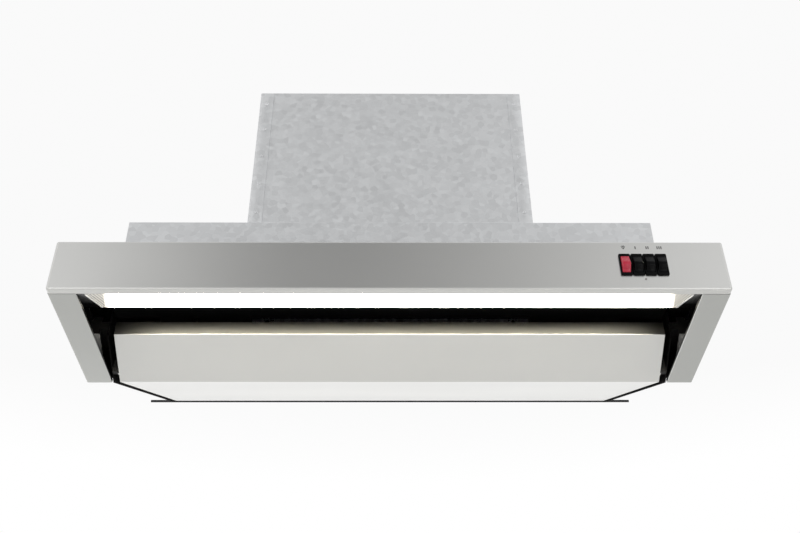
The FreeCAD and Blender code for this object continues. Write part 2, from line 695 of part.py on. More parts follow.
def make_underplate():
    """One folded sheet with a front lip, the deflector and the rear slope, side flanges and hinge ears."""
    rear = f"({REAR} - plate_end_gap)"
    lip_top = "(deflector_rise + lip_height)"
    steep = "(deflector_rise/deflector_run)"
    over_deflector = f"(gauge/cos(atan({steep})))"
    over_slope = f"(gauge/cos(atan({SLOPE})))"
    line = [("(body_setback + gauge)", lip_top),
            ("(body_setback + gauge)", f"(deflector_rise - gauge*{steep} + {over_deflector})"),
            (KEEL, f"(({over_deflector} + {over_slope})/2)"), (rear, f"({rear_line(rear)} + {over_slope})")]
    sheet_part = folded("underplate_sheet", "yz", line, "gauge", (f"-{PLATE}", PLATE))
    band = [("body_setback", "deflector_rise"), (KEEL, "0"), (rear, rear_line(rear)),
            (rear, f"({rear_line(rear)} + plate_flange/2)"),
            (f"({rear} - 25)", f"({rear_line(f'({rear} - 25)')} + plate_flange)"),
            (KEEL, "(plate_flange + 4)"), ("body_setback", "(deflector_rise + plate_flange)")]
    right = slab("underplate_flange", "yz", band, (f"{PLATE} - gauge", PLATE))
    ear = slab("underplate_ear", "yz",
               [(f"({HINGE_Y} - 6)", f"({rear_line(f'({HINGE_Y} - 6)')} + gauge/2)"),
                (f"({HINGE_Y} + 6)", f"({rear_line(f'({HINGE_Y} + 6)')} + gauge/2)"),
                (f"({HINGE_Y} + 6)", "(hinge_lift + 5.5)"), (f"({HINGE_Y} - 6)", "(hinge_lift + 5.5)")],
               ("hinge_place + running_gap", "hinge_place + running_gap + ear_thick"))
    whole = fuse("underplate_solid", sheet_part, right, mirrored("underplate_flange_left", right), ear,
                 mirrored("underplate_ear_left", ear))
    bore = rod("underplate_bore", "x", (HINGE_Y, "hinge_lift"), "hinge_pin_radius + shaft_clearance",
               (f"-{PLATE}", PLATE))
    plate = cut("underplate", whole, bore)
    stud = rod("stud_right", "x", (STUD_Y, "stud_height"), "stud_radius", (f"{PLATE}", f"{PLATE} + stud_length"))
    return [plate, group("panel_studs", stud, mirrored("stud_left", stud))]


def make_hinge_brackets():
    strap = box("hinge_strap", ("hinge_place - 3", "hinge_place"), (f"{HINGE_Y} - 5", f"{HINGE_Y} + 5"),
                ("hinge_lift - 5", "body_height - gauge"))
    foot = box("hinge_foot", ("hinge_place - 18", "hinge_place"), (f"{HINGE_Y} - 5", f"{HINGE_Y} + 5"),
               ("body_height - gauge - 2", "body_height - gauge"))
    bore = rod("hinge_strap_bore", "x", (HINGE_Y, "hinge_lift"), "hinge_pin_radius",
               ("hinge_place - 4", "hinge_place + 1"))
    right = cut("hinge_bracket_right", fuse("hinge_bracket_solid", strap, foot), bore)
    pin = rod("hinge_pin_right", "x", (HINGE_Y, "hinge_lift"), "hinge_pin_radius",
              ("hinge_place - 5", "hinge_place + ear_thick + 3"))
    head = rod("hinge_pin_head", "x", (HINGE_Y, "hinge_lift"), "hinge_pin_radius + 1.5",
               ("hinge_place - 6.5", "hinge_place - 3"))
    whole = fuse("hinge_pin_whole", pin, head)
    return [group("hinge_brackets", right, mirrored("hinge_bracket_left", right)),
            group("hinge_pins", whole, mirrored("hinge_pin_left", whole))]


def make_panel_catches():
    block = box("catch_block", (f"{PLATE} + gauge", f"{PANEL} - gauge"),
                (f"{STUD_Y} - catch_length/2", f"{STUD_Y} + catch_length/2"),
                ("stud_height/2", "stud_height/2 + catch_height"))
    mouth = box("catch_mouth", (f"{PLATE}", PANEL), (f"{STUD_Y} - stud_radius - running_gap", f"{STUD_Y} + 20"),
                ("0", "stud_height + stud_radius + running_gap"))
    right = cut("catch_right", block, mouth)
    return group("panel_catches", right, mirrored("catch_left", right))


# --------------------------------------------------------------------------- the grease filter

FILTER_HALF = "(filter_width/2)"
FILTER_PIN_Y = f"({FILTER_REAR} - filter_rail/2)"
FILTER_PIN_Z = "(filter_level + filter_thick/2)"


def make_filter():
    front = f"({FILTER_REAR} - filter_depth)"
    top = "(filter_level + filter_thick)"
    block = box("filter_block", (f"-{FILTER_HALF}", FILTER_HALF), (front, FILTER_REAR), ("filter_level", top))
    window = box("filter_window", (f"-{FILTER_HALF} + filter_rail", f"{FILTER_HALF} - filter_rail"),
                 (f"{front} + filter_rail", f"{FILTER_REAR} - filter_rail"), ("filter_level - 1", f"{top} + 1"))
    pins = rod("filter_pins", "x", (FILTER_PIN_Y, FILTER_PIN_Z), "filter_pin_radius",
               (f"-{FILTER_HALF} - filter_pin_length", f"{FILTER_HALF} + filter_pin_length"))
    spare = box("filter_pin_trim", (f"-{FILTER_HALF} + 1", f"{FILTER_HALF} - 1"), (front, FILTER_REAR),
                ("filter_level", top))
    frame = fuse("grease_filter_frame", cut("filter_ring", block, window), cut("filter_stubs", pins, spare))
    mesh = box("grease_filter_mesh", (f"-{FILTER_HALF} + filter_rail", f"{FILTER_HALF} - filter_rail"),
               (f"{front} + filter_rail", f"{FILTER_REAR} - filter_rail"),
               ("filter_level + 3", f"{top} - 3"))
    post = box("filter_bracket_block", (f"{FILTER_HALF} + running_gap", f"{FILTER_HALF} + running_gap + 5"),
               (f"{FILTER_PIN_Y} - 6", f"{FILTER_PIN_Y} + 6"), ("filter_level - 1", "body_height - gauge"))
    bore = rod("filter_bracket_bore", "x", (FILTER_PIN_Y, FILTER_PIN_Z), "filter_pin_radius + shaft_clearance",
               (FILTER_HALF, f"{FILTER_HALF} + 9"))
    bracket = cut("filter_bracket_right", post, bore)
    leaf = f"({front} - running_gap - clip_thick)"
    root = "(body_height - gauge - clip_thick)"
    clip_line = [(leaf, "(filter_level - filter_thick/3)"), (leaf, root), (f"({leaf} - clip_foot)", root)]
    clip = folded("clip_right", "yz", clip_line, "clip_thick",
                  ("clip_place - clip_width/2", "clip_place + clip_width/2"))
    return [frame, mesh, group("filter_hinge_brackets", bracket, mirrored("filter_bracket_left", bracket)),
            group("filter_spring_clips", clip, mirrored("clip_left", clip))]


# --------------------------------------------------------------------------- the fan


def scroll_outline(offset):
    """The scroll's section, from three quarter arcs that grow by one step each, moved out by the offset."""
    step = number("scroll_step")
    half = step / 2
    near = number("impeller_radius + scroll_gap") + half
    top = number(f"{BOX_TOP} - {FAN_Z} - gauge")
    left = number("tongue_setback")
    corner = V(0, -half, -half)
    points = []
    centres = [corner, corner + V(0, step, 0), corner + V(0, step, step)]
    edges = []
    for quarter, centre in enumerate(centres):
        radius = near + quarter * step + offset
        start = math.pi / 2 * (1 + quarter)
        spots = [centre + V(0, math.cos(a), math.sin(a)) * radius
                 for a in (start, start + math.pi / 4, start + math.pi / 2)]
        edges.append(Part.Arc(*spots).toShape())
        points.append((spots[0], spots[2]))
    tongue = V(0, left - offset, points[0][0].z)
    rest = [points[2][1], V(0, points[2][1].y, top), V(0, left - offset, top), tongue, points[0][0]]
    edges += [Part.LineSegment(a, b).toShape() for a, b in zip(rest, rest[1:])]
    return Part.Face(Part.Wire(edges))


def make_scroll():
    """Two moulded halves that meet on the middle plane, with an inlet on the right and the motor on the left."""
    wall = number("scroll_wall")
    half = number("scroll_half_width")
    made = []
    for name, side in (("fan_scroll_left", -1), ("fan_scroll_right", 1)):
        shell = scroll_outline(wall).extrude(V(side * half, 0, 0))
        hollow = scroll_outline(0).extrude(V(side * (half - wall), 0, 0))
        open_top = Part.makeBox(2 * half, 400, 50, V(-half, -200, number(f"{BOX_TOP} - {FAN_Z} - gauge")))
        hole = number("scroll_inlet_radius" if side > 0 else "hub_radius + 6")
        mouth = Part.makeCylinder(hole, 2 * half, V(0, 0, 0), V(side, 0, 0))
        piece = doc.addObject("Part::Feature", name)
        piece.Shape = shell.cut(hollow).cut(mouth).cut(open_top)
        if side < 0:
            holes = [Part.makeCylinder(number("grommet_radius/2"), 10, grommet_spot(k) + V(-half - 5, 0, 0),
                                       V(1, 0, 0)) for k in range(3)]
            piece.Shape = piece.Shape.cut(holes)
        piece.Placement = FreeCAD.Placement(
            V(0, number("-mount_setback + fan_setback"), number(f"-body_height + {FAN_Z}")), Rotation())
        made.append(piece)
    return made


def grommet_spot(k):
    angle = math.radians(90 + 120 * k)
    radius = number("grommet_circle")
    return V(0, radius * math.cos(angle), radius * math.sin(angle))


def make_impeller():
    body = part_body("impeller")
    back = "(-impeller_length/2)"
    disc = sketch_in(body, "impeller_disc", "YZ_Plane", back)
    ring(disc, ("0", "0"), "impeller_radius")
    feature(body, "Pad", "impeller_back", disc, "2")
    blade = sketch_in(body, "impeller_blade", "YZ_Plane", f"{back} + 2")
    inner = "(impeller_radius - blade_depth)"
    outer = "(impeller_radius - 0.5)"
    path(blade, [(inner, "0"), (f"({inner} + 6)", "-2"), (outer, "-1"), (outer, "(-1 + blade_thick)"),
                 (f"({inner} + 6)", "(-2 + blade_thick)"), (inner, "blade_thick")])
    pad = feature(body, "Pad", "impeller_blade_pad", blade, "impeller_length - 4")
    doc.recompute()
    turn = body.newObject("PartDesign::PolarPattern", "impeller_blades")
    turn.Originals = [pad]
    turn.Axis = (disc, ["N_Axis"])
    turn.Angle = 360
    bind(turn, "Occurrences", "blade_count")
    body.Tip = turn
    rim = sketch_in(body, "impeller_rim", "YZ_Plane", f"-{back} - 3")
    ring(rim, ("0", "0"), "impeller_radius")
    ring(rim, ("0", "0"), "impeller_radius - blade_depth - 1")
    feature(body, "Pad", "impeller_rim_pad", rim, "3")
    hub = sketch_in(body, "impeller_hub", "YZ_Plane", back)
    ring(hub, ("0", "0"), "hub_radius")
    feature(body, "Pad", "impeller_hub_pad", hub, "26")
    bore = sketch_in(body, "impeller_bore", "YZ_Plane", "impeller_length/2")
    ring(bore, ("0", "0"), "shaft_radius")
    feature(body, "Pocket", "impeller_bore_cut", bore, "2*impeller_length")
    return put(body, x="0", y="fan_setback", z=FAN_Z)


def make_motor():
    axis = ("fan_setback", FAN_Z)
    near = f"(-{MOTOR_END})"
    far = f"(-{MOTOR_END} - motor_length)"
    seat = "bearing_radius"
    front = cut("motor_end_shield_front",
                rod("front_shield_disc", "x", axis, "motor_radius", (f"{near} - shield_length", near)),
                rod("front_shield_seat", "x", axis, seat, (f"{near} - shield_length - 1", f"{near} - 2")),
                rod("front_shield_hole", "x", axis, "shaft_radius + 1", (f"{near} - 3", f"{near} + 1")))
    rear = cut("motor_end_shield_rear",
               rod("rear_shield_disc", "x", axis, "motor_radius", (far, f"{far} + shield_length")),
               rod("rear_shield_seat", "x", axis, seat, (f"{far} + 2", f"{far} + shield_length + 1")))
    stator = tube("motor_stator", "x", axis, ("rotor_radius + 0.5", "motor_radius"),
                  (f"{far} + shield_length", f"{near} - shield_length"))
    rotor = rod("rotor_core", "x", axis, "rotor_radius", (f"{far} + shield_length + 2", f"{near} - shield_length - 2"))
    rotor_bore = rod("rotor_bore", "x", axis, "shaft_radius", (far, near))
    shaft = rod("motor_shaft", "x", axis, "shaft_radius", (f"{far} + 3.5", "-impeller_length/2 + 24"))
    bearings = []
    for name, start in (("bearing_front", f"{near} - 2 - bearing_width"), ("bearing_rear", f"{far} + 2.5")):
        bearings.append(tube(name, "x", axis, ("shaft_radius + shaft_clearance", "bearing_radius - 0.01"),
                             (start, f"{start} + bearing_width")))
    grommets = []
    for k in range(3):
        angle = f"({90 + 120 * k})"
        place = (f"fan_setback + grommet_circle*cos({angle})", f"{FAN_Z} + grommet_circle*sin({angle})")
        collar = rod(f"grommet_collar_{k}", "x", place, "grommet_radius", (near, f"{near} + grommet_length"))
        neck = rod(f"grommet_neck_{k}", "x", place, "grommet_radius/2 - 0.1",
                   (f"{near} + 1", f"-scroll_half_width + scroll_wall + 1.5"))
        grommets.append(fuse(f"grommet_{k}", collar, neck))
    return [front, rear, stator, cut("motor_rotor", rotor, rotor_bore), shaft,
            group("motor_bearings", *bearings), group("motor_grommets", *grommets)]


# --------------------------------------------------------------------------- the duct collar


def make_collar():
    outer = "collar_radius"
    inner = "(collar_radius - collar_wall)"
    ledge = "(collar_radius - collar_wall - stop_ring_width)"
    low = "stop_ring_height"
    body = turned("duct_collar", [(inner, "0"), ("collar_flange_radius", "0"), ("collar_flange_radius", "1.5"),
                                  (outer, "1.5"), (outer, "collar_height"), (inner, "collar_height"),
                                  (inner, f"({low} + 1)"), (ledge, f"({low} + 1)"), (ledge, f"({low} - 0.5)"),
                                  (inner, f"({low} - 2)")])
    hole = sketch_in(body, "collar_pin_holes", "YZ_Plane", "-collar_radius - 2")
    ring(hole, ("0", f"({FLAP_Z} - {BOX_TOP} + flap_thick/2)"), "flap_pin_radius")
    cutter = feature(body, "Pocket", "collar_pin_cut", hole, "2*collar_radius + 4")
    cutter.Reversed = True
    put(body, x="0", y=COLLAR_Y, z=BOX_TOP)
    screws = []
    spread = "((collar_radius + collar_flange_radius)/2)"
    for k in range(4):
        place = (f"{spread}*cos({45 + 90 * k})", f"{COLLAR_Y} + {spread}*sin({45 + 90 * k})")
        screws.append(rod(f"collar_screw_{k}", "z", place, "3", (f"{BOX_TOP} + 1.5", f"{BOX_TOP} + 3.7")))
    pin = rod("damper_pin", "x", (COLLAR_Y, f"{FLAP_Z} + flap_thick/2"), "flap_pin_radius",
              ("-collar_radius + 0.2", "collar_radius - 0.2"))
    return [body, group("collar_screws", *screws), pin]


def make_flap(name, side, barrels):
    """A half disc with hinge barrels round the damper pin; side is -1 for the front half."""
    radius = "(collar_radius - collar_wall - 0.8)"
    axis = (COLLAR_Y, f"{FLAP_Z} + flap_thick/2")
    disc = rod(name + "_disc", "z", ("0", COLLAR_Y), radius, (FLAP_Z, f"{FLAP_Z} + flap_thick"))
    edge = "(flap_barrel_radius + running_gap)"
    other = box(name + "_other_half", (f"-{radius} - 1", f"{radius} + 1"),
                (f"{COLLAR_Y} - {edge}", f"{COLLAR_Y} + {radius} + 1") if side < 0 else
                (f"{COLLAR_Y} - {radius} - 1", f"{COLLAR_Y} + {edge}"),
                (f"{FLAP_Z} - 1", f"{FLAP_Z} + flap_thick + 1"))
    half = cut(name + "_half", disc, other)
    knuckles = []
    for i, span in enumerate(barrels):
        knuckles.append(rod(f"{name}_barrel_{i}", "x", axis, "flap_barrel_radius", span))
        reach = (f"{COLLAR_Y} - {edge} - 1", COLLAR_Y) if side < 0 else (COLLAR_Y, f"{COLLAR_Y} + {edge} + 1")
        knuckles.append(box(f"{name}_leaf_{i}", span, reach, (FLAP_Z, f"{FLAP_Z} + flap_thick")))
    bore = rod(name + "_pin_bore", "x", axis, "flap_pin_radius + shaft_clearance", (f"-{radius}", radius))
    return cut(name, fuse(name + "_solid", half, *knuckles), bore)


# --------------------------------------------------------------------------- the electrics


def make_electrics():
    wall = "(-motor_box_width/2)"
    low = f"({TERMINAL_Z} - terminal_box_height/2)"
    high = f"({TERMINAL_Z} + terminal_box_height/2)"
    front = f"({TERMINAL_Y} - terminal_box_depth/2)"
    back = f"({TERMINAL_Y} + terminal_box_depth/2)"
    left = f"({wall} - terminal_box_width)"
    shell = box("terminal_shell", (left, wall), (front, back), (low, high))
    hollow = box("terminal_hollow", (f"{left} - 1", f"{wall} - 2"), (f"{front} + 2", f"{back} - 2"),
                 (f"{low} + 2", f"{high} - 2"))
    lead = rod("terminal_lead_hole", "x", (TERMINAL_Y, TERMINAL_Z), "6", (f"{wall} - 5", f"{wall} + 1"))
    gland_place = (f"{wall} - terminal_box_width/2", TERMINAL_Y)
    gland_hole = rod("terminal_gland_hole", "z", gland_place, "gland_radius - 1.5", (f"{high} - 5", f"{high} + 1"))
    terminal = cut("terminal_box", shell, hollow, lead, gland_hole)
    cover = box("terminal_cover", (f"{left} - 2", left), (front, back), (low, high))
    nut = rod("gland_nut", "z", gland_place, "gland_radius", (high, f"{high} + gland_length - 8"))
    neck = rod("gland_neck", "z", gland_place, "gland_radius - 1.6", (f"{high} - 6", f"{high} + 1"))
    bore = rod("gland_bore", "z", gland_place, "gland_bore_radius", (f"{high} - 9", f"{high} + gland_length"))
    gland = cut("cable_gland", fuse("gland_solid", nut, neck), bore)
    corner = ("motor_box_width/2 - 28", f"{BOX_FRONT} + motor_box_depth - gauge - capacitor_radius")
    capacitor = rod("motor_capacitor", "z", corner, "capacitor_radius",
                    ("body_height", "body_height + capacitor_length"))
    hang = "(body_height - gauge)"
    side = f"(-{PANEL} + ballast_width*0.3)"
    start = "(body_setback + ballast_width)"
    end = f"({start} + ballast_length)"
    ballast = box("lamp_ballast", (side, f"{side} + ballast_width"), (start, end),
                  (f"{hang} - ballast_height", hang))
    starter = rod("lamp_starter", "y", (f"{side} + ballast_width/2", f"{hang} - starter_radius"), "starter_radius",
                  (f"{end} + starter_radius", f"{end} + starter_radius + starter_length"))
    return [terminal, cover, gland, capacitor, ballast, starter]


def make_microswitch():
    face = "(tongue_length + pull_travel + running_gap)"
    inner = f"({PANEL} - gauge)"
    middle = f"({inner} - 5.5)"
    level = f"({CEILING} + gauge/2)"
    block = box("microswitch_block", (f"{inner} - 10.5", inner),
                (f"{face} + plunger_reach", f"{face} + plunger_reach + 20"), (f"{level} - 8", f"{level} + 8"))
    bore = rod("microswitch_bore", "y", (middle, level), "plunger_radius + shaft_clearance",
               (face, f"{face} + plunger_reach + 5"))
    plunger = rod("microswitch_plunger", "y", (middle, level), "plunger_radius", (face, f"{face} + plunger_reach + 3"))
    return [cut("microswitch", block, bore), plunger]


# --------------------------------------------------------------------------- every node

nodes = [make_fascia(), *make_arms(), *make_fascia_brackets(), make_ceiling_plate(), *make_rails()]
nodes += [make_lamp_tray(), make_diffuser(), make_end_caps(), *make_tube_and_holders()]
nodes += [make_switch_bodies(), *[make_rocker(i, name) for i, name in enumerate(ROCKERS)]]
nodes += [rod("pilot_lamp", "y", ("switch_place", PILOT_Z), "pilot_radius", ("-0.5", "gauge + 3"))]
nodes += [make_guides(), *make_side_panels(), *make_front_and_back(), make_top_panel(), make_motor_box()]
nodes += [*make_underplate(), *make_hinge_brackets(), make_panel_catches(), *make_filter()]
nodes += [*make_scroll(), make_impeller(), *make_motor(), *make_collar()]
nodes += [make_flap("damper_flap_front", -1, [("-40", "-21"), ("1", "20")]),
          make_flap("damper_flap_rear", 1, [("-20", "0"), ("21", "40")])]
nodes += [*make_electrics(), *make_microswitch()]
for node in nodes:
    node.Label = node.Name

doc.recompute()
bad = [thing.Name for thing in doc.Objects if {"Invalid", "Error"} & set(thing.State)]
bad += [node.Name for node in nodes if node.Shape.isNull() or not node.Shape.isValid() or not node.Shape.Solids]
if bad:
    raise SystemExit(f"failed: {bad}")

os.makedirs("parts", exist_ok=True)
for node in nodes:
    node.Shape.exportStep(f"parts/{node.Label}.step")
print(len(nodes), "nodes")
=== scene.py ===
"""Looks of the pull-out range hood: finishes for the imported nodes, and finer pieces for some of them.

Lengths are in metres, apart from places and sizes that go through at() or mm(), which are in millimetres.
X runs to the right, Y from the fascia back to the wall, and Z up.
"""

import math

import bmesh
import bpy
from mathutils import Matrix, Vector


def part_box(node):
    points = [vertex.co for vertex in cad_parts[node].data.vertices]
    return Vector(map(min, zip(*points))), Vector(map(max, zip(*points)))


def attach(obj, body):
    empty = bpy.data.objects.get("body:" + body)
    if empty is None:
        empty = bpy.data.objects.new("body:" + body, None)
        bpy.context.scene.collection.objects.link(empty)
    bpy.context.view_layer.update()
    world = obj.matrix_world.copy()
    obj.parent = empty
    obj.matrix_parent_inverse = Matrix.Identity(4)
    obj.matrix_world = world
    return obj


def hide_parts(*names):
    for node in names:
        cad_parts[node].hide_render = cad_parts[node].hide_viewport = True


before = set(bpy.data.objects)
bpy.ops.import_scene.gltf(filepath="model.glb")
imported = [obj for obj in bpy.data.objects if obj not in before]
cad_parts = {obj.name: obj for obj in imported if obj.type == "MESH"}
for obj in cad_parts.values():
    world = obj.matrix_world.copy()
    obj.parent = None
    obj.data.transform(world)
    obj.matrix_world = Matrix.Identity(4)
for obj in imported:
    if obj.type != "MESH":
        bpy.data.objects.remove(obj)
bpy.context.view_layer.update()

# The fascia's face and underside, from which places on the hood are measured.
FACE_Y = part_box("fascia")[0].y
UNDER_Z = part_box("fascia")[0].z


def mm(*sizes):
    """A vector given in millimetres."""
    return Vector(sizes) / 1000


def at(x, y, z):
    """A place in millimetres from the hood's middle, the fascia's face and its underside."""
    return mm(x, y, z) + Vector((0, FACE_Y, UNDER_Z))


# ------------------------------------------------------------------ finishes

EVEN = (1, 1, 1)
# Near black with little sheen, used as painted shade on the hood's unlit inner parts.
PAINTED_SHADE_BLACK = (0.003, 0.003, 0.0031)
DARK_GREY = (0.02, 0.02, 0.02)
WARM_LIGHT = (1, 0.93, 0.79, 1)
GALVANISED = {"light": (0.74, 0.75, 0.76), "flake": 170, "contrast": 0.08}

# Brushed sheet: how many scratches fit across a metre, and how little they change along their own way.
SCRATCHES = 1700
SCRATCH_STRETCH = 0.012

# The painted light and shade on the underplate's lip: the lip's foot over the sheet's lowest line, its height,
# and the stretch on each side of the middle over which the painted shade deepens.
LIP_FOOT = 0.0245
LIP_HEIGHT = 0.0145
LIP_SHADE_STRETCH = (0.205, 0.262)
LIP_PAINTED_SHADE = (0.1, 0.096, 0.085)
LIP_PAINTED_LAMPLIGHT = (0.95, 0.92, 0.83)

# An arm's inner faces look back across the hood: there x times the normal's own x is minus their distance from
# the middle. Below the first of these values the sheet is dark grey, painted shade; above the second it keeps
# its bare steel.
ARM_SHADE_FACING = (-0.268, -0.25)

# The housing shows bare zinc where its sheet looks outward from beyond this distance and lies above this
# height; everywhere else it is near black, painted shade for the hood's unlit inside.
HOUSING_OUTSIDE = 0.121
PAINTED_SHADE_TOP = -0.1

# The lamp: its prisms' pitch, how its glow's ends slant, where the glow fades and ends, and its strength.
PRISM_PITCH = 0.0031
GLOW_SLANT = -0.26
GLOW_FADE = (0.3055, 0.3175)
GLOW_END = (0.316, 0.333)
GLOW = 17

# The height below which the slide guides' underside is pale grey: painted light from below.
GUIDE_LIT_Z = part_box("slide_guides")[0].z


def finish(name, colour, **sockets):
    """A material whose plain values sit on the shader's own sockets."""
    made = bpy.data.materials.new(name)
    made.use_nodes = True
    shader = made.node_tree.nodes["Principled BSDF"]
    shader.inputs["Base Color"].default_value = (*colour, 1)
    for socket, value in sockets.items():
        shader.inputs[socket.replace("_", " ")].default_value = value
    return made


def node(made, kind, links=(), **values):
    """Adds a node; links are (input, source node, output), and values set inputs or properties."""
    added = made.node_tree.nodes.new(kind)
    for key, value in values.items():
        if hasattr(added, key):
            setattr(added, key, value)
        else:
            added.inputs[key.replace("_", " ")].default_value = value
    for socket, source, output in links:
        made.node_tree.links.new(source.outputs[output], added.inputs[socket])
    return added


def feed(made, source, output, socket):
    """Links a node's output to a socket of the shader."""
    shader = made.node_tree.nodes["Principled BSDF"]
    made.node_tree.links.new(source.outputs[output], shader.inputs[socket])


def placed(made, scale=EVEN, turn=(0, 0, 0)):
    """The object's own coordinates, scaled and turned."""
    where = node(made, "ShaderNodeTexCoord")
    return node(made, "ShaderNodeMapping", [("Vector", where, "Object")], Scale=scale, Rotation=turn)


def object_place(made):
    """X, Y and Z of the object's own coordinates."""
    return node(made, "ShaderNodeSeparateXYZ", [("Vector", node(made, "ShaderNodeTexCoord"), "Object")])


def noise(made, scale, detail=3.0, rough=0.6, stretch=EVEN):
    """A noise texture; a small stretch draws it out along that way."""
    return node(made, "ShaderNodeTexNoise", [("Vector", placed(made, stretch), "Vector")],
                Scale=scale, Detail=detail, Roughness=rough)


def spread(made, source, output, low, high, start=0.3, end=0.7):
    """The source carried from one range to another."""
    added = node(made, "ShaderNodeMapRange", [("Value", source, output)])
    for socket, value in (("From Min", start), ("From Max", end), ("To Min", low), ("To Max", high)):
        added.inputs[socket].default_value = value
    return added


def product(made, first, second):
    """The first outputs of two nodes, multiplied."""
    return node(made, "ShaderNodeMath", [(0, first, 0), (1, second, 0)], operation="MULTIPLY")


def from_middle(made, place):
    """How far a place lies from the hood's middle plane, on either side."""
    return node(made, "ShaderNodeMath", [(0, place, "X")], operation="ABSOLUTE")


def relief(made, source, output, depth, strength=1.0):
    """Raises the surface by the source."""
    bump = node(made, "ShaderNodeBump", [("Height", source, output)], Strength=strength, Distance=depth)
    feed(made, bump, "Normal", "Normal")


def blend(made, source, output, first, second):
    """Two colours mixed by the source, each either plain or an earlier mix."""
    mix = node(made, "ShaderNodeMix", [("Factor", source, output)], data_type="RGBA")
    for socket, colour in ((6, first), (7, second)):
        if isinstance(colour, tuple):
            mix.inputs[socket].default_value = (*colour, 1)
        else:
            made.node_tree.links.new(colour.outputs[2], mix.inputs[socket])
    return mix


def tinted(made, source, output, dark, light):
    """Gives the finish two colours mixed by the source."""
    feed(made, blend(made, source, output, dark, light), 2, "Base Color")


def over(made, shade, output, colour):
    """Lays a colour over the finish where the shade is 1."""
    bare = made.node_tree.nodes["Principled BSDF"].inputs["Base Color"].links[0].from_node
    feed(made, blend(made, shade, output, bare, colour), 2, "Base Color")


def brushed_steel(name, way, colour=(0.65, 0.65, 0.635), rough=(0.28, 0.34), lean=0.6):
    """Stainless sheet brushed along one way: light spreads across the fine scratches."""
    made = finish(name, colour, Metallic=1.0, Anisotropic=lean)
    fine = noise(made, SCRATCHES, 3, 0.6, tuple(SCRATCH_STRETCH if along else 1 for along in way))
    cloud = noise(made, 5, 2, 0.5, (1, 1.6, 1.6))
    feed(made, spread(made, fine, "Fac", *rough), "Result", "Roughness")
    tone = spread(made, cloud, "Fac", 0, 1)
    tinted(made, tone, "Result", tuple(c * 0.97 for c in colour), tuple(min(1, c * 1.02) for c in colour))
    relief(made, fine, "Fac", 0.000006, 0.2)
    across = node(made, "ShaderNodeVectorMath", [(0, node(made, "ShaderNodeNewGeometry"), "Normal")],
                  operation="CROSS_PRODUCT")
    across.inputs[1].default_value = tuple(along + 0.01 for along in way)
    feed(made, across, "Vector", "Tangent")
    return made


def lip_painted_light_and_shade(name):
    """Sheet brushed across, with painted light and shade on its front lip.

    The lip shows painted warm lamplight at its foot, turning to painted shade towards the slot above the lip
    and towards the lip's two ends.
    """
    made = brushed_steel(name, (1, 0, 0))
    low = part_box("underplate")[0]
    foot = low.z + LIP_FOOT
    place = object_place(made)
    ahead = spread(made, place, "Y", 1, 0, low.y + 0.001, low.y + 0.0015)
    above = spread(made, place, "Z", 0, 1, foot, foot + 0.0003)
    lit_towards_foot = spread(made, place, "Z", 1, 0, foot, foot + LIP_HEIGHT)
    inner = spread(made, from_middle(made, place), "Value", 1, 0.35, *LIP_SHADE_STRETCH)
    # Painted lamplight near the lip's foot, darkening to painted shade higher up and towards the lip's ends.
    lip_light_colour = blend(made, product(made, lit_towards_foot, inner), "Value", LIP_PAINTED_SHADE, LIP_PAINTED_LAMPLIGHT)
    over(made, product(made, ahead, above), "Value", lip_light_colour)
    return made


def arm_painted_shade_inside(name):
    """Sheet brushed from front to back, with dark grey painted shade on the faces that look towards the hood's
    middle.
    """
    made = brushed_steel(name, (0, 1, 0), (0.49, 0.495, 0.48))
    where = node(made, "ShaderNodeTexCoord")
    facing = node(made, "ShaderNodeVectorMath", [(0, where, "Object"), (1, where, "Normal")],
                  operation="MULTIPLY")
    split = node(made, "ShaderNodeSeparateXYZ", [("Vector", facing, "Vector")])
    # Painted shade: dark grey over the inward faces, which hides the lamp's light on them.
    over(made, spread(made, split, "X", 1, 0, *ARM_SHADE_FACING), "Result", DARK_GREY)
    return made


def bright_steel(name, colour=(0.68, 0.68, 0.68), rough=(0.14, 0.26)):
    """Turned or rolled steel with a faint, even mottle."""
    made = finish(name, colour, Metallic=1.0)
    mottle = noise(made, 900, 3, 0.6)
    feed(made, spread(made, mottle, "Fac", *rough), "Result", "Roughness")
    relief(made, mottle, "Fac", 0.00001, 0.3)
    return made


def painted(name, colour, rough, depth=0.00004, scale=700, shine=0.5):
    """Sprayed paint with a faint orange peel."""
    made = finish(name, colour, Specular_IOR_Level=shine)
    peel = noise(made, scale, 2, 0.5)
    feed(made, spread(made, peel, "Fac", rough - 0.04, rough + 0.06), "Result", "Roughness")
    cloud = spread(made, noise(made, 9, 3, 0.5), "Fac", 0, 1)
    tinted(made, cloud, "Result", tuple(c * 0.93 for c in colour), tuple(min(1, c * 1.05) for c in colour))
    relief(made, peel, "Fac", depth, 0.4)
    return made


def moulded(name, colour, rough, depth=0.00003, scale=1500, shine=0.45):
    """Moulded plastic with a fine spark-eroded grain."""
    made = finish(name, colour, Specular_IOR_Level=shine)
    grain = noise(made, scale, 2, 0.6)
    feed(made, spread(made, grain, "Fac", rough - 0.05, rough + 0.08), "Result", "Roughness")
    relief(made, grain, "Fac", depth, 0.5)
    return made


def zinc(name, light=(0.5, 0.51, 0.52), flake=140, contrast=0.16):
    """Galvanised sheet with its spangle."""
    made = finish(name, light, Metallic=0.85)
    flakes = node(made, "ShaderNodeTexVoronoi", [("Vector", placed(made), "Vector")], Scale=flake)
    split = node(made, "ShaderNodeSeparateColor", [("Color", flakes, "Color")])
    feed(made, spread(made, split, "Red", 0.5 - contrast, 0.5 + contrast * 0.5, 0, 1), "Result", "Roughness")
    dark = tuple(c * (1 - contrast) for c in light)
    bright = tuple(c * (1 + contrast / 2) for c in light)
    tinted(made, spread(made, split, "Green", 0, 1, 0, 1), "Result", dark, bright)
    relief(made, noise(made, 60, 4, 0.6), "Fac", 0.0001, 0.25)
    return made


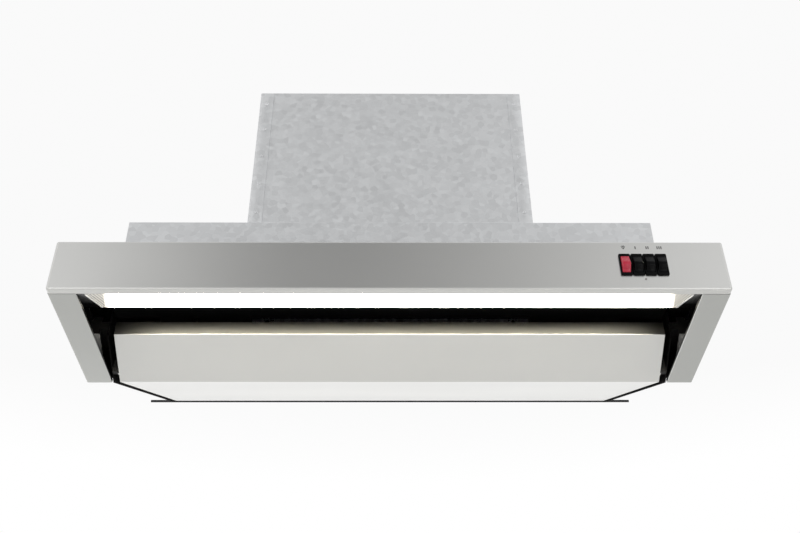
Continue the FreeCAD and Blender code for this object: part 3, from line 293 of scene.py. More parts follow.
def housing_zinc_painted_shade(name):
    """Galvanised sheet that is near black, painted shade, on its inner side and over its whole lower part."""
    made = zinc(name, **GALVANISED)
    where = node(made, "ShaderNodeTexCoord")
    spoke = node(made, "ShaderNodeVectorMath", [(0, where, "Object")], operation="SUBTRACT")
    spoke.inputs[1].default_value = (0, 0, UNDER_Z)
    outward = node(made, "ShaderNodeVectorMath", [(0, where, "Normal"), (1, spoke, "Vector")],
                   operation="DOT_PRODUCT")
    outside = spread(made, outward, "Value", 0, 1, HOUSING_OUTSIDE - 0.002, HOUSING_OUTSIDE)
    upper = spread(made, object_place(made), "Z", 0, 1, PAINTED_SHADE_TOP - 0.0005, PAINTED_SHADE_TOP)
    bare = product(made, outside, upper)
    # Painted shade: near black, with little sheen, wherever the sheet is not bare zinc outside.
    over(made, spread(made, bare, "Value", 1, 0, 0, 1), "Result", PAINTED_SHADE_BLACK)
    feed(made, spread(made, bare, "Value", 0, 0.85, 0, 1), "Result", "Metallic")
    feed(made, spread(made, bare, "Value", 0.05, 0.5, 0, 1), "Result", "Specular IOR Level")
    return made


def laminated(name):
    """Stacked iron sheets, seen as fine lines across the motor's axis."""
    made = finish(name, (0.16, 0.16, 0.17), Metallic=0.7)
    bands = node(made, "ShaderNodeTexWave", [("Vector", placed(made), "Vector")], Scale=320)
    feed(made, spread(made, bands, "Fac", 0.4, 0.6, 0, 1), "Result", "Roughness")
    relief(made, bands, "Fac", 0.0001, 0.5)
    return made


def prism_cells(made, pitch, turn=0.0):
    """Square cells that rise to a ridge in the middle, as a height from 0 to 1."""
    split = node(made, "ShaderNodeSeparateXYZ",
                 [("Vector", placed(made, (1 / pitch, 1 / pitch, 1), (0, 0, turn)), "Vector")])
    waves = []
    for axis in "XY":
        wave = node(made, "ShaderNodeMath", [(0, split, axis)], operation="PINGPONG")
        wave.inputs[1].default_value = 0.5
        waves.append(wave)
    return spread(made, product(made, *waves), "Value", 0, 1, 0, 0.25)


def lit_prisms(name):
    """The lamp's diffuser, lit from behind. Its square prisms show where the glow fades at the ends."""
    made = finish(name, (0.35, 0.35, 0.34), Roughness=0.3)
    cells = prism_cells(made, PRISM_PITCH)
    relief(made, cells, "Result", 0.0009, 0.6)
    place = object_place(made)
    reach = node(made, "ShaderNodeMath", [(0, place, "Y"), (2, from_middle(made, place), "Value")],
                 operation="MULTIPLY_ADD")
    reach.inputs[1].default_value = GLOW_SLANT
    fade = spread(made, reach, "Value", 0, 1, *GLOW_FADE)
    fade.interpolation_type = "SMOOTHSTEP"
    facet = spread(made, cells, "Result", 0.15, 1.6, 0.3, 0.8)
    edge = product(made, facet, spread(made, reach, "Value", 1, 0.35, *GLOW_END))
    glow = node(made, "ShaderNodeMix", [("Factor", fade, "Result"), ("B", edge, "Value")], data_type="FLOAT")
    glow.inputs["A"].default_value = GLOW
    feed(made, glow, "Result", "Emission Strength")
    made.node_tree.nodes["Principled BSDF"].inputs["Emission Color"].default_value = WARM_LIGHT
    return made


def guide_painted_underside_light(name):
    """Black moulded guide whose underside is pale grey, painted light from below."""
    made = moulded(name, (0.01, 0.01, 0.01), 0.5, shine=0.15)
    # Painted light: the underside is pale grey, the rest of the guide black.
    painted_light_band = spread(made, object_place(made), "Z", 1, 0, GUIDE_LIT_Z + 0.0001, GUIDE_LIT_Z + 0.0005)
    tinted(made, painted_light_band, "Result", (0.004, 0.004, 0.004), (0.3, 0.3, 0.295))
    return made


def latticed(name):
    """Dark moulded plastic with a fine diamond lattice, with painted shade that darkens it and dulls its sheen
    towards its rear.
    """
    made = finish(name, (0.05, 0.05, 0.051))
    cells = prism_cells(made, 0.0032, math.radians(45))
    feed(made, spread(made, cells, "Result", 0.5, 0.3, 0, 1), "Result", "Roughness")
    # Painted shade: colour and sheen fade to black towards the cap's rear.
    depth = spread(made, object_place(made), "Y", 1, 0, FACE_Y + 0.008, FACE_Y + 0.048)
    tinted(made, depth, "Result", (0.001, 0.001, 0.001), (0.07, 0.07, 0.07))
    feed(made, spread(made, depth, "Result", 0.02, 0.6, 0, 1), "Result", "Specular IOR Level")
    relief(made, cells, "Result", 0.0005, 0.8)
    return made


def fluted(name, colour):
    """Clear tinted plastic with upright flutes inside, in its roughness and relief; the lighter pink stripes
    of its colour along them are painted streaks of light.
    """
    made = finish(name, colour, Coat_Weight=0.12, Specular_IOR_Level=0.3, Subsurface_Weight=0.25,
                  Subsurface_Scale=0.001, Subsurface_Radius=(0.8, 0.1, 0.1))
    flutes = node(made, "ShaderNodeTexWave", [("Vector", placed(made, (1, 0.06, 0.06)), "Vector")],
                  Scale=260, Distortion=1.5, Detail=1)
    feed(made, spread(made, flutes, "Fac", 0.16, 0.42, 0, 1), "Result", "Roughness")
    # Painted highlight: the flutes give the colour lighter pink streaks of light.
    tinted(made, spread(made, flutes, "Fac", 0, 1, 0.2, 0.9), "Result", tuple(c * 0.85 for c in colour),
           (colour[0] * 1.1, colour[1] * 2.2, colour[2] * 1.8))
    relief(made, flutes, "Fac", 0.00008, 0.5)
    return made


FINISHES = {
    "stainless_across": brushed_steel("stainless_across", (1, 0, 0)),
    "lip_painted_light_and_shade": lip_painted_light_and_shade("lip_painted_light_and_shade"),
    "arm_painted_shade_inside": arm_painted_shade_inside("arm_painted_shade_inside"),
    # Painted shade: the ceiling plate, slide rails and ballast inside the hood are near black where they lie
    # unlit.
    "interior_painted_shade": painted("interior_painted_shade", PAINTED_SHADE_BLACK, 0.55, shine=0.05),
    "white_enamel": painted("white_enamel", (0.82, 0.82, 0.8), 0.25),
    "galvanised": zinc("galvanised", **GALVANISED),
    "housing_zinc_painted_shade": housing_zinc_painted_shade("housing_zinc_painted_shade"),
    "zinc": zinc("zinc", (0.52, 0.53, 0.54), 500),
    "bright_steel": bright_steel("bright_steel"),
    "motor_iron": laminated("motor_iron"),
    "cast_aluminium": painted("cast_aluminium", (0.55, 0.56, 0.57), 0.45, 0.0002, 900),
    "filter_aluminium": bright_steel("filter_aluminium", (0.72, 0.73, 0.74), (0.25, 0.4)),
    "diffuser": lit_prisms("diffuser"),
    "tube_glass": finish("tube_glass", (0.95, 0.95, 0.93), Roughness=0.1, Emission_Strength=2.0,
                         Emission_Color=(1, 0.98, 0.94, 1)),
    "white_plastic": moulded("white_plastic", (0.8, 0.8, 0.78), 0.4),
    "guide_plastic": guide_painted_underside_light("guide_plastic"),
    "dark_plastic": moulded("dark_plastic", (0.012, 0.012, 0.012), 0.5, shine=0.2),
    "dark_lattice": latticed("dark_lattice"),
    "black_switch": moulded("black_switch", (0.003, 0.003, 0.0034), 0.24, 0.000006, shine=0.06),
    "red_switch": fluted("red_switch", (0.5, 0.016, 0.04)),
    "pilot_lens": moulded("pilot_lens", (0.3, 0.28, 0.27), 0.15, 0.000005),
    "fan_plastic": moulded("fan_plastic", (0.07, 0.07, 0.075), 0.5),
    "box_plastic": moulded("box_plastic", (0.24, 0.24, 0.25), 0.45),
    "rubber": moulded("rubber", DARK_GREY, 0.75, 0.0001, 800),
    "legend_ink": moulded("legend_ink", DARK_GREY, 0.5, shine=0.2),
}

WEARS = {
    "stainless_across": ["fascia"],
    "lip_painted_light_and_shade": ["underplate"],
    "arm_painted_shade_inside": ["arm_left", "arm_right"],
    "housing_zinc_painted_shade": ["side_panel_left", "side_panel_right", "front_panel", "back_panel", "top_panel"],
    "interior_painted_shade": ["ceiling_plate", "slide_rail_left", "slide_rail_right", "lamp_ballast"],
    "white_enamel": ["lamp_tray"],
    "galvanised": ["motor_box"],
    "zinc": ["hinge_brackets", "filter_hinge_brackets", "fascia_brackets"],
    "bright_steel": ["collar_screws", "fascia_screws", "hinge_pins", "damper_pin", "motor_shaft",
                     "motor_bearings", "panel_studs", "filter_spring_clips"],
    "motor_iron": ["motor_stator", "motor_rotor"],
    "cast_aluminium": ["motor_end_shield_front", "motor_end_shield_rear"],
    "filter_aluminium": ["grease_filter_frame", "grease_filter_mesh"],
    "diffuser": ["lamp_diffuser"],
    "tube_glass": ["lamp_tube"],
    "white_plastic": ["lampholders", "lamp_starter", "motor_capacitor"],
    "guide_plastic": ["slide_guides"],
    "dark_plastic": ["panel_catches"],
    "dark_lattice": ["lamp_end_caps"],
    "black_switch": ["switch_bodies", "rocker_low", "rocker_medium", "rocker_high", "microswitch"],
    "red_switch": ["rocker_light", "microswitch_plunger"],
    "pilot_lens": ["pilot_lamp"],
    "fan_plastic": ["fan_scroll_left", "fan_scroll_right", "impeller", "duct_collar", "damper_flap_front",
                    "damper_flap_rear"],
    "box_plastic": ["terminal_box", "terminal_cover", "cable_gland"],
    "rubber": ["motor_grommets", "front_seal", "rear_trim"],
}
for surface, names in WEARS.items():
    for name in names:
        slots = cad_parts[name].material_slots
        if not slots:
            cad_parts[name].data.materials.append(FINISHES[surface])
        for slot in slots:
            slot.material = FINISHES[surface]


# ------------------------------------------------------------------ making pieces


def piece(name, mesh, body, surface, replaces=(), angle=35):
    """Turns a bmesh into a smoothed object that rides on a body."""
    bmesh.ops.remove_doubles(mesh, verts=mesh.verts, dist=1e-7)
    bmesh.ops.recalc_face_normals(mesh, faces=mesh.faces)
    data = bpy.data.meshes.new(name)
    mesh.to_mesh(data)
    mesh.free()
    data.shade_smooth()
    data.set_sharp_from_angle(angle=math.radians(angle))
    made = bpy.data.objects.new(name, data)
    bpy.context.collection.objects.link(made)
    data.materials.append(FINISHES[surface])
    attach(made, body)
    if replaces:
        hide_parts(*replaces)
    return made


def round_edges(mesh, edges, width, steps=2):
    """Rounds edges; the vertices and faces that this makes are returned."""
    return bmesh.ops.bevel(mesh, geom=list(edges), offset=width, segments=steps, profile=0.5, affect="EDGES",
                           material=-1)


def block(mesh, low, high, edge=0.0, steps=2):
    """A box between two corners, with rounded edges; its vertices are returned."""
    low, high = Vector(low), Vector(high)
    new = bmesh.ops.create_cube(mesh, size=1)["verts"]
    bmesh.ops.scale(mesh, vec=high - low, verts=new)
    bmesh.ops.translate(mesh, vec=(low + high) / 2, verts=new)
    if edge:
        new = round_edges(mesh, {e for v in new for e in v.link_edges}, edge, steps)["verts"]
    return new


AIM = {"x": Matrix.Rotation(math.radians(90), 3, "Y"), "-x": Matrix.Rotation(math.radians(-90), 3, "Y"),
       "y": Matrix.Rotation(math.radians(-90), 3, "X"), "-y": Matrix.Rotation(math.radians(90), 3, "X"),
       "z": Matrix.Identity(3), "-z": Matrix.Rotation(math.radians(180), 3, "X")}


def drum(mesh, foot, way, radius, length, top=None, edge=0.0, sides=32):
    """A round bar that stands on its foot and points one way; its far rim is rounded."""
    new = bmesh.ops.create_cone(mesh, cap_ends=True, segments=sides, radius1=radius,
                                radius2=radius if top is None else top, depth=length)["verts"]
    bmesh.ops.translate(mesh, vec=(0, 0, length / 2), verts=new)
    if edge:
        rim = {e for v in new for e in v.link_edges if all(w.co.z > length * 0.99 for w in e.verts)}
        kept = {f for v in new for f in v.link_faces}
        made = round_edges(mesh, rim, edge, 3)
        new = list({v for f in kept | set(made["faces"]) if f.is_valid for v in f.verts})
    bmesh.ops.rotate(mesh, matrix=AIM[way], verts=new)
    bmesh.ops.translate(mesh, vec=foot, verts=new)
    return new


def pan_head(mesh, foot, way, radius, height):
    """A domed screw head with a six-sided socket."""
    new = bmesh.ops.create_cone(mesh, cap_ends=True, segments=24, radius1=radius, radius2=radius * 0.72,
                                depth=height)["verts"]
    bmesh.ops.translate(mesh, vec=(0, 0, height / 2), verts=new)
    faces = {f for v in new for f in v.link_faces}
    top = max(faces, key=lambda f: f.calc_center_median().z)
    shrunk = bmesh.ops.inset_individual(mesh, faces=[top], thickness=radius * 0.36)["faces"]
    sunk = bmesh.ops.extrude_discrete_faces(mesh, faces=[top])["faces"]
    bmesh.ops.translate(mesh, vec=(0, 0, -height * 0.55), verts=sunk[0].verts)
    new = list({v for f in (faces | set(shrunk) | set(sunk)) if f.is_valid for v in f.verts})
    bmesh.ops.rotate(mesh, matrix=AIM[way], verts=new)
    bmesh.ops.translate(mesh, vec=foot, verts=new)


def section(mesh, points, start, depth):
    """An outline in Y and Z, carried along X."""
    corners = [mesh.verts.new((start, y, z)) for y, z in points]
    face = mesh.faces.new(corners)
    carried = bmesh.ops.extrude_face_region(mesh, geom=[face])["geom"]
    new = [v for v in carried if isinstance(v, bmesh.types.BMVert)]
    bmesh.ops.translate(mesh, vec=(depth, 0, 0), verts=new)
    return corners + new


# ------------------------------------------------------------------ the switches

# Places and sizes of the switches in millimetres: the frame, its rim, the well that the rocker stands in, and
# the box behind the fascia with its three terminals.
SWITCH_PITCH = 10.8
SWITCH_X = [225.2 + (k - 1.5) * SWITCH_PITCH for k in range(4)]
SWITCH_Z = 26.3
PIVOT_Y = 2.5
FRAME_WIDE, FRAME_HIGH, FRAME_PROUD = 10.4, 23.6, 1.6
RIM = 1.3
WELL_HIGH, WELL_DEEP = 18.2, 7.8
BOX_WIDE, BOX_HIGH, BOX_NEAR, BOX_FAR = 9.8, 21.4, 0.9, 22
BOX_WALL, BOX_FLOOR = 1.5, 8.5
TERMINAL_WIDE, TERMINAL_HIGH, TERMINAL_LONG, TERMINAL_PITCH = 0.8, 4.8, 3.5, 6

# The rocker: its outline in depth and height about its pivot, its width, and the ribs on its lower half.
ROCKER_FACE = [(-4.5, 8.3), (-4.6, 7.1), (-8.1, 0.9), (-8.5, -0.6), (-8.1, -2.0), (-4.6, -7.1), (-4.5, -8.3)]
ROCKER_BACK = [(1, -8.3), (4, -3), (4, 3), (1, 8.3)]
ROCKER_WIDE = 7.5
ROCKER_TILT = 6
RIB_WIDE, RIB_HIGH, RIB_PITCH, RIB_TOP = 6, 0.4, 1.05, -3.3


def switch_block(mesh, x, half, depths, heights, edge=0.0):
    """A box evenly about x, between two depths behind the fascia's face and two heights on the switch."""
    return block(mesh, at(x - half, depths[0], SWITCH_Z + heights[0]),
                 at(x + half, depths[1], SWITCH_Z + heights[1]), edge)


def make_switch_frames():
    """Four bezels with the boxes behind them, each with an open well for its rocker."""
    mesh = bmesh.new()
    half, top = BOX_WIDE / 2, BOX_HIGH / 2
    inner_top = top - BOX_WALL
    for x in SWITCH_X:
        new = switch_block(mesh, x, FRAME_WIDE / 2, (-FRAME_PROUD, 0), (-FRAME_HIGH / 2, FRAME_HIGH / 2))
        corners = {e for v in new for e in v.link_edges if abs(e.verts[0].co.y - e.verts[1].co.y) > 0.001}
        made = round_edges(mesh, corners, RIM / 1000, 4)
        whole = {f for v in made["verts"] for f in v.link_faces}
        front = min(whole, key=lambda f: f.calc_center_median().y)
        outer = list(front.edges)
        bmesh.ops.inset_individual(mesh, faces=[front], thickness=RIM / 1000)
        bmesh.ops.scale(mesh, vec=(1, 1, WELL_HIGH / (FRAME_HIGH - 2 * RIM)), verts=front.verts,
                        space=Matrix.Translation(-at(x, 0, SWITCH_Z)))
        inner = list(front.edges)
        sunk = bmesh.ops.extrude_discrete_faces(mesh, faces=[front])["faces"][0]
        bmesh.ops.translate(mesh, vec=mm(0, WELL_DEEP, 0), verts=sunk.verts)
        round_edges(mesh, outer, 0.0005, 3)
        round_edges(mesh, inner, 0.0002, 2)
        switch_block(mesh, x, half, (BOX_NEAR, BOX_FAR), (-top, -inner_top), 0.0002)
        switch_block(mesh, x, half, (BOX_NEAR, BOX_FAR), (inner_top, top), 0.0002)
        switch_block(mesh, x, half, (BOX_FLOOR, BOX_FAR), (-inner_top - 0.1, inner_top + 0.1), 0.0002)
        for side in (-1, 1):
            switch_block(mesh, x + side * (half - 0.5), 0.5, (BOX_NEAR, BOX_FLOOR + 0.5),
                         (-inner_top - 0.1, inner_top + 0.1))
        for row in (-1, 0, 1):
            z = row * TERMINAL_PITCH
            switch_block(mesh, x, TERMINAL_WIDE / 2, (BOX_FAR - 0.1, BOX_FAR + TERMINAL_LONG),
                         (z - TERMINAL_HIGH / 2, z + TERMINAL_HIGH / 2), 0.0001)
    return piece("switch_frames", mesh, "pullout", "black_switch", ["switch_bodies"])


def make_rocker(k, name, body, surface):
    """A rocker with a crown below its middle, softened edges, and three ribs for the finger."""
    mesh = bmesh.new()
    outline = [(y / 1000, z / 1000) for y, z in ROCKER_FACE + ROCKER_BACK]
    section(mesh, outline, -ROCKER_WIDE / 2000, ROCKER_WIDE / 1000)
    round_edges(mesh, mesh.edges[:], 0.0004, 3)
    (crown_y, crown_z), (foot_y, foot_z) = ROCKER_FACE[4:6]
    for rib in range(3):
        z = RIB_TOP - rib * RIB_PITCH
        y = crown_y + (z - crown_z) * (foot_y - crown_y) / (foot_z - crown_z)
        low = mm(-RIB_WIDE / 2, y - 0.22, z - RIB_HIGH / 2)
        block(mesh, low, low + mm(RIB_WIDE, 0.62, RIB_HIGH), 0.00012)
    bmesh.ops.rotate(mesh, matrix=Matrix.Rotation(math.radians(ROCKER_TILT), 3, "X"), verts=mesh.verts)
    bmesh.ops.translate(mesh, vec=at(SWITCH_X[k], PIVOT_Y, SWITCH_Z), verts=mesh.verts)
    return piece(name + "_cap", mesh, body, surface, [name], 50)


# The printed signs over the rockers, in millimetres.
SIGN_Z = 46.2
SIGN_RIGHT = 0.5
INK = 0.08
BULB, RAYS = 1.05, 1.95
STROKE_WIDE, STROKE_HIGH, STROKE_PITCH = 0.85, 3.1, 1.75


def bar(mesh, x, z, wide, high, turn=0.0):
    """A printed stroke on the fascia's face, barely raised."""
    new = bmesh.ops.create_cube(mesh, size=1)["verts"]
    bmesh.ops.scale(mesh, vec=mm(wide, INK, high), verts=new)
    bmesh.ops.rotate(mesh, matrix=Matrix.Rotation(math.radians(turn), 3, "Y"), verts=new)
    bmesh.ops.translate(mesh, vec=at(x, -0.01, z), verts=new)


def bar_round(mesh, x, z, radius, angle, wide, high):
    """A stroke on a circle, square to its radius."""
    place = math.radians(angle)
    bar(mesh, x + radius * math.sin(place), z + radius * math.cos(place), wide, high, angle)


def make_legends():
    """A lamp sign, then one, two and three strokes, above the rockers."""
    mesh = bmesh.new()
    x, z = SWITCH_X[0] + SIGN_RIGHT, SIGN_Z + 0.25
    for angle in range(0, 360, 36):
        bar_round(mesh, x, z, BULB, angle, 0.85, 0.6)
    for angle in (-60, -20, 20, 60):
        bar_round(mesh, x, z, RAYS, angle, 0.36, 0.7)
    bar(mesh, x, SIGN_Z - 1.2, 1.1, 0.45)
    bar(mesh, x, SIGN_Z - 1.75, 0.7, 0.4)
    for count in (1, 2, 3):
        for stroke in range(count):
            x = SWITCH_X[count] + SIGN_RIGHT + (stroke - (count - 1) / 2) * STROKE_PITCH
            bar(mesh, x, SIGN_Z - 0.3, STROKE_WIDE, STROKE_HIGH)
    return piece("switch_legends", mesh, "pullout", "legend_ink")


make_switch_frames()
for k, (name, body) in enumerate([("rocker_light", "light_rocker"), ("rocker_low", "low_rocker"),
                                  ("rocker_medium", "medium_rocker"), ("rocker_high", "high_rocker")]):
    red = k == 0
    make_rocker(k, name, body, "red_switch" if red else "black_switch")
make_legends()

# ------------------------------------------------------------------ the lamp and the underplate


# The diffuser's rims and the underplate's studs, in millimetres; the diffuser climbs towards the rear.
RIM_X, RIM_Y, RIM_HALF = 267.4, 36, 27.5
LAMP_DEEP, LAMP_CLIMB = 56, 24.4
STUD_X, STUD_Y, STUD_Z = 267, 151, 7.5
STUD_RADIUS, STUD_LONG = 2, 3.4


def make_diffuser_rims():
    """Pale rims along the diffuser's two ends."""
    mesh = bmesh.new()
    slope = LAMP_CLIMB / LAMP_DEEP
    for side in (-1, 1):
        new = block(mesh, mm(-0.7, -RIM_HALF, -0.6), mm(0.7, RIM_HALF, 0.4), 0.0002)
        bmesh.ops.rotate(mesh, matrix=Matrix.Rotation(math.atan(slope), 3, "X"), verts=new)
        bmesh.ops.translate(mesh, vec=at(side * RIM_X, RIM_Y, 0.1 + LAMP_CLIMB / 2), verts=new)
    return piece("diffuser_rims", mesh, "pullout", "white_plastic")


def make_studs():
    """Round studs on the underplate's sides, each with a flange at its foot and a tapered tip."""
    mesh = bmesh.new()
    radius = STUD_RADIUS / 1000
    for side, way in ((-1, "-x"), (1, "x")):
        foot = at(side * STUD_X, STUD_Y, STUD_Z)
        drum(mesh, foot, way, radius, STUD_LONG / 1000, sides=24)
        drum(mesh, foot + mm(side * 3.2, 0, 0), way, radius, 0.0014, top=0.0012, edge=0.0004, sides=24)
        drum(mesh, foot + mm(side * 0.2, 0, 0), way, 0.0032, 0.0007, edge=0.0003, sides=24)
    return piece("stud_heads", mesh, "underplate", "bright_steel", ["panel_studs"])


make_diffuser_rims()
make_studs()

# ------------------------------------------------------------------ screws, filter and housing details


def lumps(name):
    """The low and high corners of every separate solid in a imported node."""
    mesh = bmesh.new()
    mesh.from_mesh(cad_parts[name].data)
    bmesh.ops.remove_doubles(mesh, verts=mesh.verts, dist=1e-5)
    left, found = set(mesh.verts), []
    while left:
        batch = [left.pop()]
        for vert in batch:
            near = {e.other_vert(vert) for e in vert.link_edges} & left
            left -= near
            batch += near
        found.append([Vector([pick(v.co[k] for v in batch) for k in range(3)]) for pick in (min, max)])
    mesh.free()
    return found


def make_collar_screws():
    """Pan heads with a stub of thread below, on the duct collar's flange."""
    mesh = bmesh.new()
    for low, high in lumps("collar_screws"):
        middle = (low + high) / 2
        drum(mesh, (middle.x, middle.y, low.z - 0.001), "z", 0.0015, 0.0012, sides=20)
        pan_head(mesh, (middle.x, middle.y, low.z), "z", 0.003, high.z - low.z)
    return piece("collar_screw_heads", mesh, "housing", "bright_steel", ["collar_screws"])


def make_fascia_screws():
    """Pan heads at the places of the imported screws, each facing the way that its screw does."""
    mesh = bmesh.new()
    for low, high in lumps("fascia_screws"):
        middle, size = (low + high) / 2, high - low
        if size.y < size.x:
            pan_head(mesh, (middle.x, low.y, middle.z), "y", size.x / 2, size.y)
        elif middle.x > 0:
            pan_head(mesh, (high.x, middle.y, middle.z), "-x", size.y / 2, size.x)
        else:
            pan_head(mesh, (low.x, middle.y, middle.z), "x", size.y / 2, size.x)
    return piece("fascia_screw_heads", mesh, "pullout", "bright_steel", ["fascia_screws"])


FILTER_STRAND = 0.0009
FILTER_FOIL = 0.0004


def make_filter_layers():
    """Two layers of expanded aluminium, their diamonds turned against each other."""
    low, high = lumps("grease_filter_mesh")[0]
    middle, size = (low + high) / 2, high - low
    sides = [(Vector((1, 0, 0)), size.x), (Vector((0, 1, 0)), size.y)]
    mesh = bmesh.new()
    for turn, level, cells, half in ((45, 0.3, 52, 0.21), (0, 0.7, 40, size.x / 2)):
        sheet = bmesh.new()
        bmesh.ops.create_grid(sheet, x_segments=cells, y_segments=cells, size=half)
        bmesh.ops.rotate(sheet, matrix=Matrix.Rotation(math.radians(turn), 3, "Z"), verts=sheet.verts)
        holes = bmesh.ops.inset_individual(sheet, faces=sheet.faces[:], thickness=FILTER_STRAND)
        whole = set(sheet.faces) - set(holes["faces"])
        bmesh.ops.delete(sheet, geom=list(whole), context="FACES")
        for outward, reach in [(way * sign, reach) for way, reach in sides for sign in (1, -1)]:
            bmesh.ops.bisect_plane(sheet, geom=sheet.verts[:] + sheet.edges[:] + sheet.faces[:],
                                   plane_co=outward * reach / 2, plane_no=outward, clear_outer=True)
        bmesh.ops.solidify(sheet, geom=sheet.faces[:], thickness=FILTER_FOIL)
        bmesh.ops.translate(sheet, vec=(middle.x, middle.y, low.z + size.z * level), verts=sheet.verts)
        layer = bpy.data.meshes.new("layer")
        sheet.to_mesh(layer)
        sheet.free()
        mesh.from_mesh(layer)
        bpy.data.meshes.remove(layer)
    return piece("filter_layers", mesh, "grease_filter", "filter_aluminium",
                 ["grease_filter_mesh"])


def make_terminal_lid():
    """The terminal box's lid with rounded edges, a raised panel and a screw at each end."""
    low, high = lumps("terminal_cover")[0]
    mesh = bmesh.new()
    new = block(mesh, low, high)
    top = max({f for v in new for f in v.link_faces}, key=lambda f: f.calc_center_median().z)
    rim = list(top.edges)
    bmesh.ops.inset_individual(mesh, faces=[top], thickness=0.004)
    bmesh.ops.translate(mesh, vec=(0, 0, 0.0006), verts=top.verts)
    round_edges(mesh, rim, 0.0008, 3)
    middle = (low + high) / 2
    for end in (low.y + 0.008, high.y - 0.008):
        pan_head(mesh, (middle.x, end, high.z + 0.0004), "z", 0.003, 0.0016)
    return piece("terminal_lid", mesh, "housing", "box_plastic", ["terminal_cover"])


SEAM_SHEET = 0.0008
SEAM_STRAP = 0.014
SEAM_PROUD = 0.0002
RIVETS = 5
RIVET_FOOT = 0.018
RIVET_PITCH = 0.041


def make_box_seams():
    """Folded corner straps on the motor box, spot-riveted, and a foot strap along its front."""
    low, high = lumps("motor_box")[0]
    mesh = bmesh.new()
    foot = low.z + SEAM_PROUD
    for side in (-1, 1):
        edge = high.x * side
        inner, outer = edge - side * SEAM_STRAP, edge + side * SEAM_SHEET
        for wall, way in ((low.y, -1), (high.y, 1)):
            face = wall + way * SEAM_SHEET
            block(mesh, (min(outer, inner), min(wall, face), foot),
                  (max(outer, inner), max(wall, face), high.z - 0.001), 0.0002)
            for k in range(RIVETS):
                place = (edge - side * SEAM_STRAP / 2, face, low.z + RIVET_FOOT + k * RIVET_PITCH)
                drum(mesh, place, "y" if way > 0 else "-y", 0.0022, 0.001, top=0.0014, edge=0.0004, sides=16)
    block(mesh, (low.x, low.y - 0.0045, foot), (high.x, low.y, foot + SEAM_SHEET), 0.0002)
    return piece("box_seams", mesh, "housing", "galvanised")


make_collar_screws()
make_fascia_screws()
make_filter_layers()
make_terminal_lid()
make_box_seams()


# ------------------------------------------------------------------ camera, light and floor


# The fitted camera: its place, its lens on a 36 mm sensor, and its turns in degrees.
CAMERA_PLACE = (0.0012, -0.9938, -0.6978)
CAMERA_LENS = 46.83
CAMERA_PITCH, CAMERA_YAW, CAMERA_ROLL = 127.212, -0.593, -0.31

# Darker stretches of the room, as places and reaches along the horizon, and their darkest and full light.
DARK_AHEAD = {"middle": -0.09, "left": 0.205, "right": 0.42, "darkest": 0.26, "full": 1.02}
DARK_RIGHT = {"middle": 0.93, "left": 0.24, "right": 0.24, "darkest": 0.45, "full": 1}
LIGHT_BEHIND = 0.95
FLOOR_Z = -1.75


def make_camera():
    """Looks up at the hood from below and in front."""
    data = bpy.data.cameras.new("camera")
    data.sensor_width = 36
    data.lens = CAMERA_LENS
    camera = bpy.data.objects.new("camera", data)
    camera.location = CAMERA_PLACE
    pitch, yaw, roll = (Matrix.Rotation(math.radians(angle), 3, way)
                        for angle, way in ((CAMERA_PITCH, "X"), (CAMERA_YAW, "Z"), (CAMERA_ROLL, "Z")))
    camera.rotation_euler = (yaw @ pitch @ roll).to_euler()
    bpy.context.collection.objects.link(camera)
    bpy.context.scene.camera = camera


def make_lamp(name, place, target, wide, high, power):
    """A soft rectangular lamp."""
    data = bpy.data.lights.new(name, "AREA")
    data.shape = "RECTANGLE"
    data.size = wide
    data.size_y = high
    data.energy = power
    lamp = bpy.data.objects.new(name, data)
    lamp.location = place
    lamp.rotation_euler = (Vector(target) - Vector(place)).to_track_quat("-Z", "Y").to_euler()
    bpy.context.collection.objects.link(lamp)


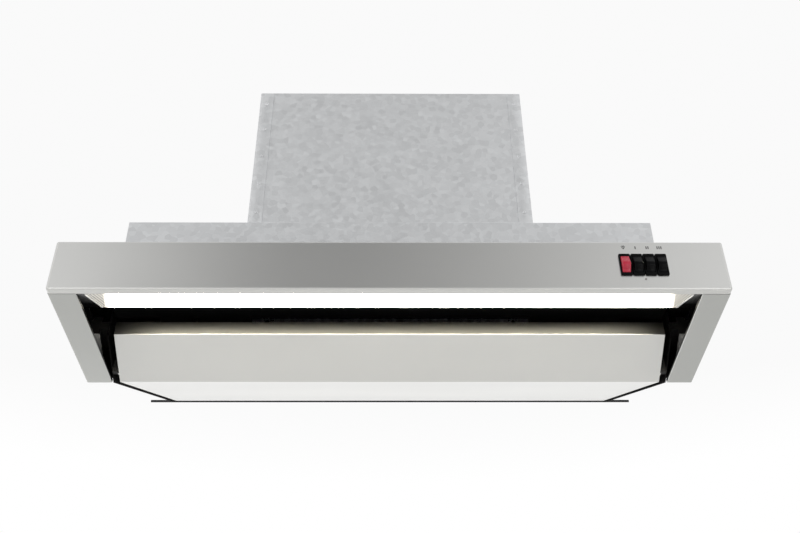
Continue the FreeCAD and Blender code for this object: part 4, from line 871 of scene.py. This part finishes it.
def dim_patch(world, split, middle, left, right, darkest, full):
    """Light that is darkest at a place on the horizon and grows to full over a reach on each side."""
    sides = []
    for reach in (-left, right):
        side = node(world, "ShaderNodeMath", [(0, split, "X")], operation="MULTIPLY_ADD")
        side.inputs[1].default_value = 1 / reach
        side.inputs[2].default_value = -middle / reach
        sides.append(side)
    nearer = node(world, "ShaderNodeMath", [(0, sides[0], 0), (1, sides[1], 0)], operation="MAXIMUM")
    bent = node(world, "ShaderNodeMath", [(0, nearer, 0)], operation="POWER")
    bent.inputs[1].default_value = 1.4
    return spread(world, bent, "Value", darkest, full, 0, 1)


def make_world():
    """A pale room with a darker stretch straight ahead and another to the right; white behind the hood."""
    world = bpy.data.worlds.new("room")
    world.use_nodes = True
    bpy.context.scene.world = world
    sky = world.node_tree.nodes["Background"]
    where = node(world, "ShaderNodeTexCoord")
    split = node(world, "ShaderNodeSeparateXYZ", [("Vector", where, "Generated")])
    room = product(world, dim_patch(world, split, **DARK_AHEAD), dim_patch(world, split, **DARK_RIGHT))
    behind = spread(world, split, "Y", 0, 1, -0.5, -0.2)
    light = node(world, "ShaderNodeMix", [("Factor", behind, "Result"), ("A", room, "Value")],
                 data_type="FLOAT")
    light.inputs["B"].default_value = LIGHT_BEHIND
    # Painted shade on the backdrop: what the camera sees of the room dims slightly higher up.
    backdrop_painted_shade = spread(world, split, "Z", 1, 0.955, 0.43, 0.5)
    path = node(world, "ShaderNodeLightPath")
    seen = node(world, "ShaderNodeMix", [("Factor", path, "Is Camera Ray"), ("A", light, "Result"),
                                         ("B", backdrop_painted_shade, "Result")], data_type="FLOAT")
    world.node_tree.links.new(seen.outputs["Result"], sky.inputs["Strength"])
    sky.inputs["Color"].default_value = (1, 1, 1, 1)


def make_floor():
    """A wide pale floor far below the hood."""
    mesh = bmesh.new()
    bmesh.ops.create_grid(mesh, x_segments=1, y_segments=1, size=6)
    bmesh.ops.translate(mesh, vec=(0, 0, FLOOR_Z), verts=mesh.verts)
    data = bpy.data.meshes.new("floor")
    mesh.to_mesh(data)
    mesh.free()
    floor = bpy.data.objects.new("floor", data)
    bpy.context.collection.objects.link(floor)
    data.materials.append(finish("pale_floor", (0.86, 0.86, 0.85), Roughness=0.7))


make_camera()
make_world()
make_floor()
for side, name in ((-1, "low_left"), (1, "low_right")):
    make_lamp(name, (side * 0.95, -1.6, -1.2), (side * 0.2, -0.2, -0.1), 0.9, 0.1, 2)
make_lamp("low_back", (-0.3, 1.6, -0.5), (0, 0.05, -0.1), 2.4, 0.6, 6)
bpy.context.scene.view_settings.view_transform = "Standard"
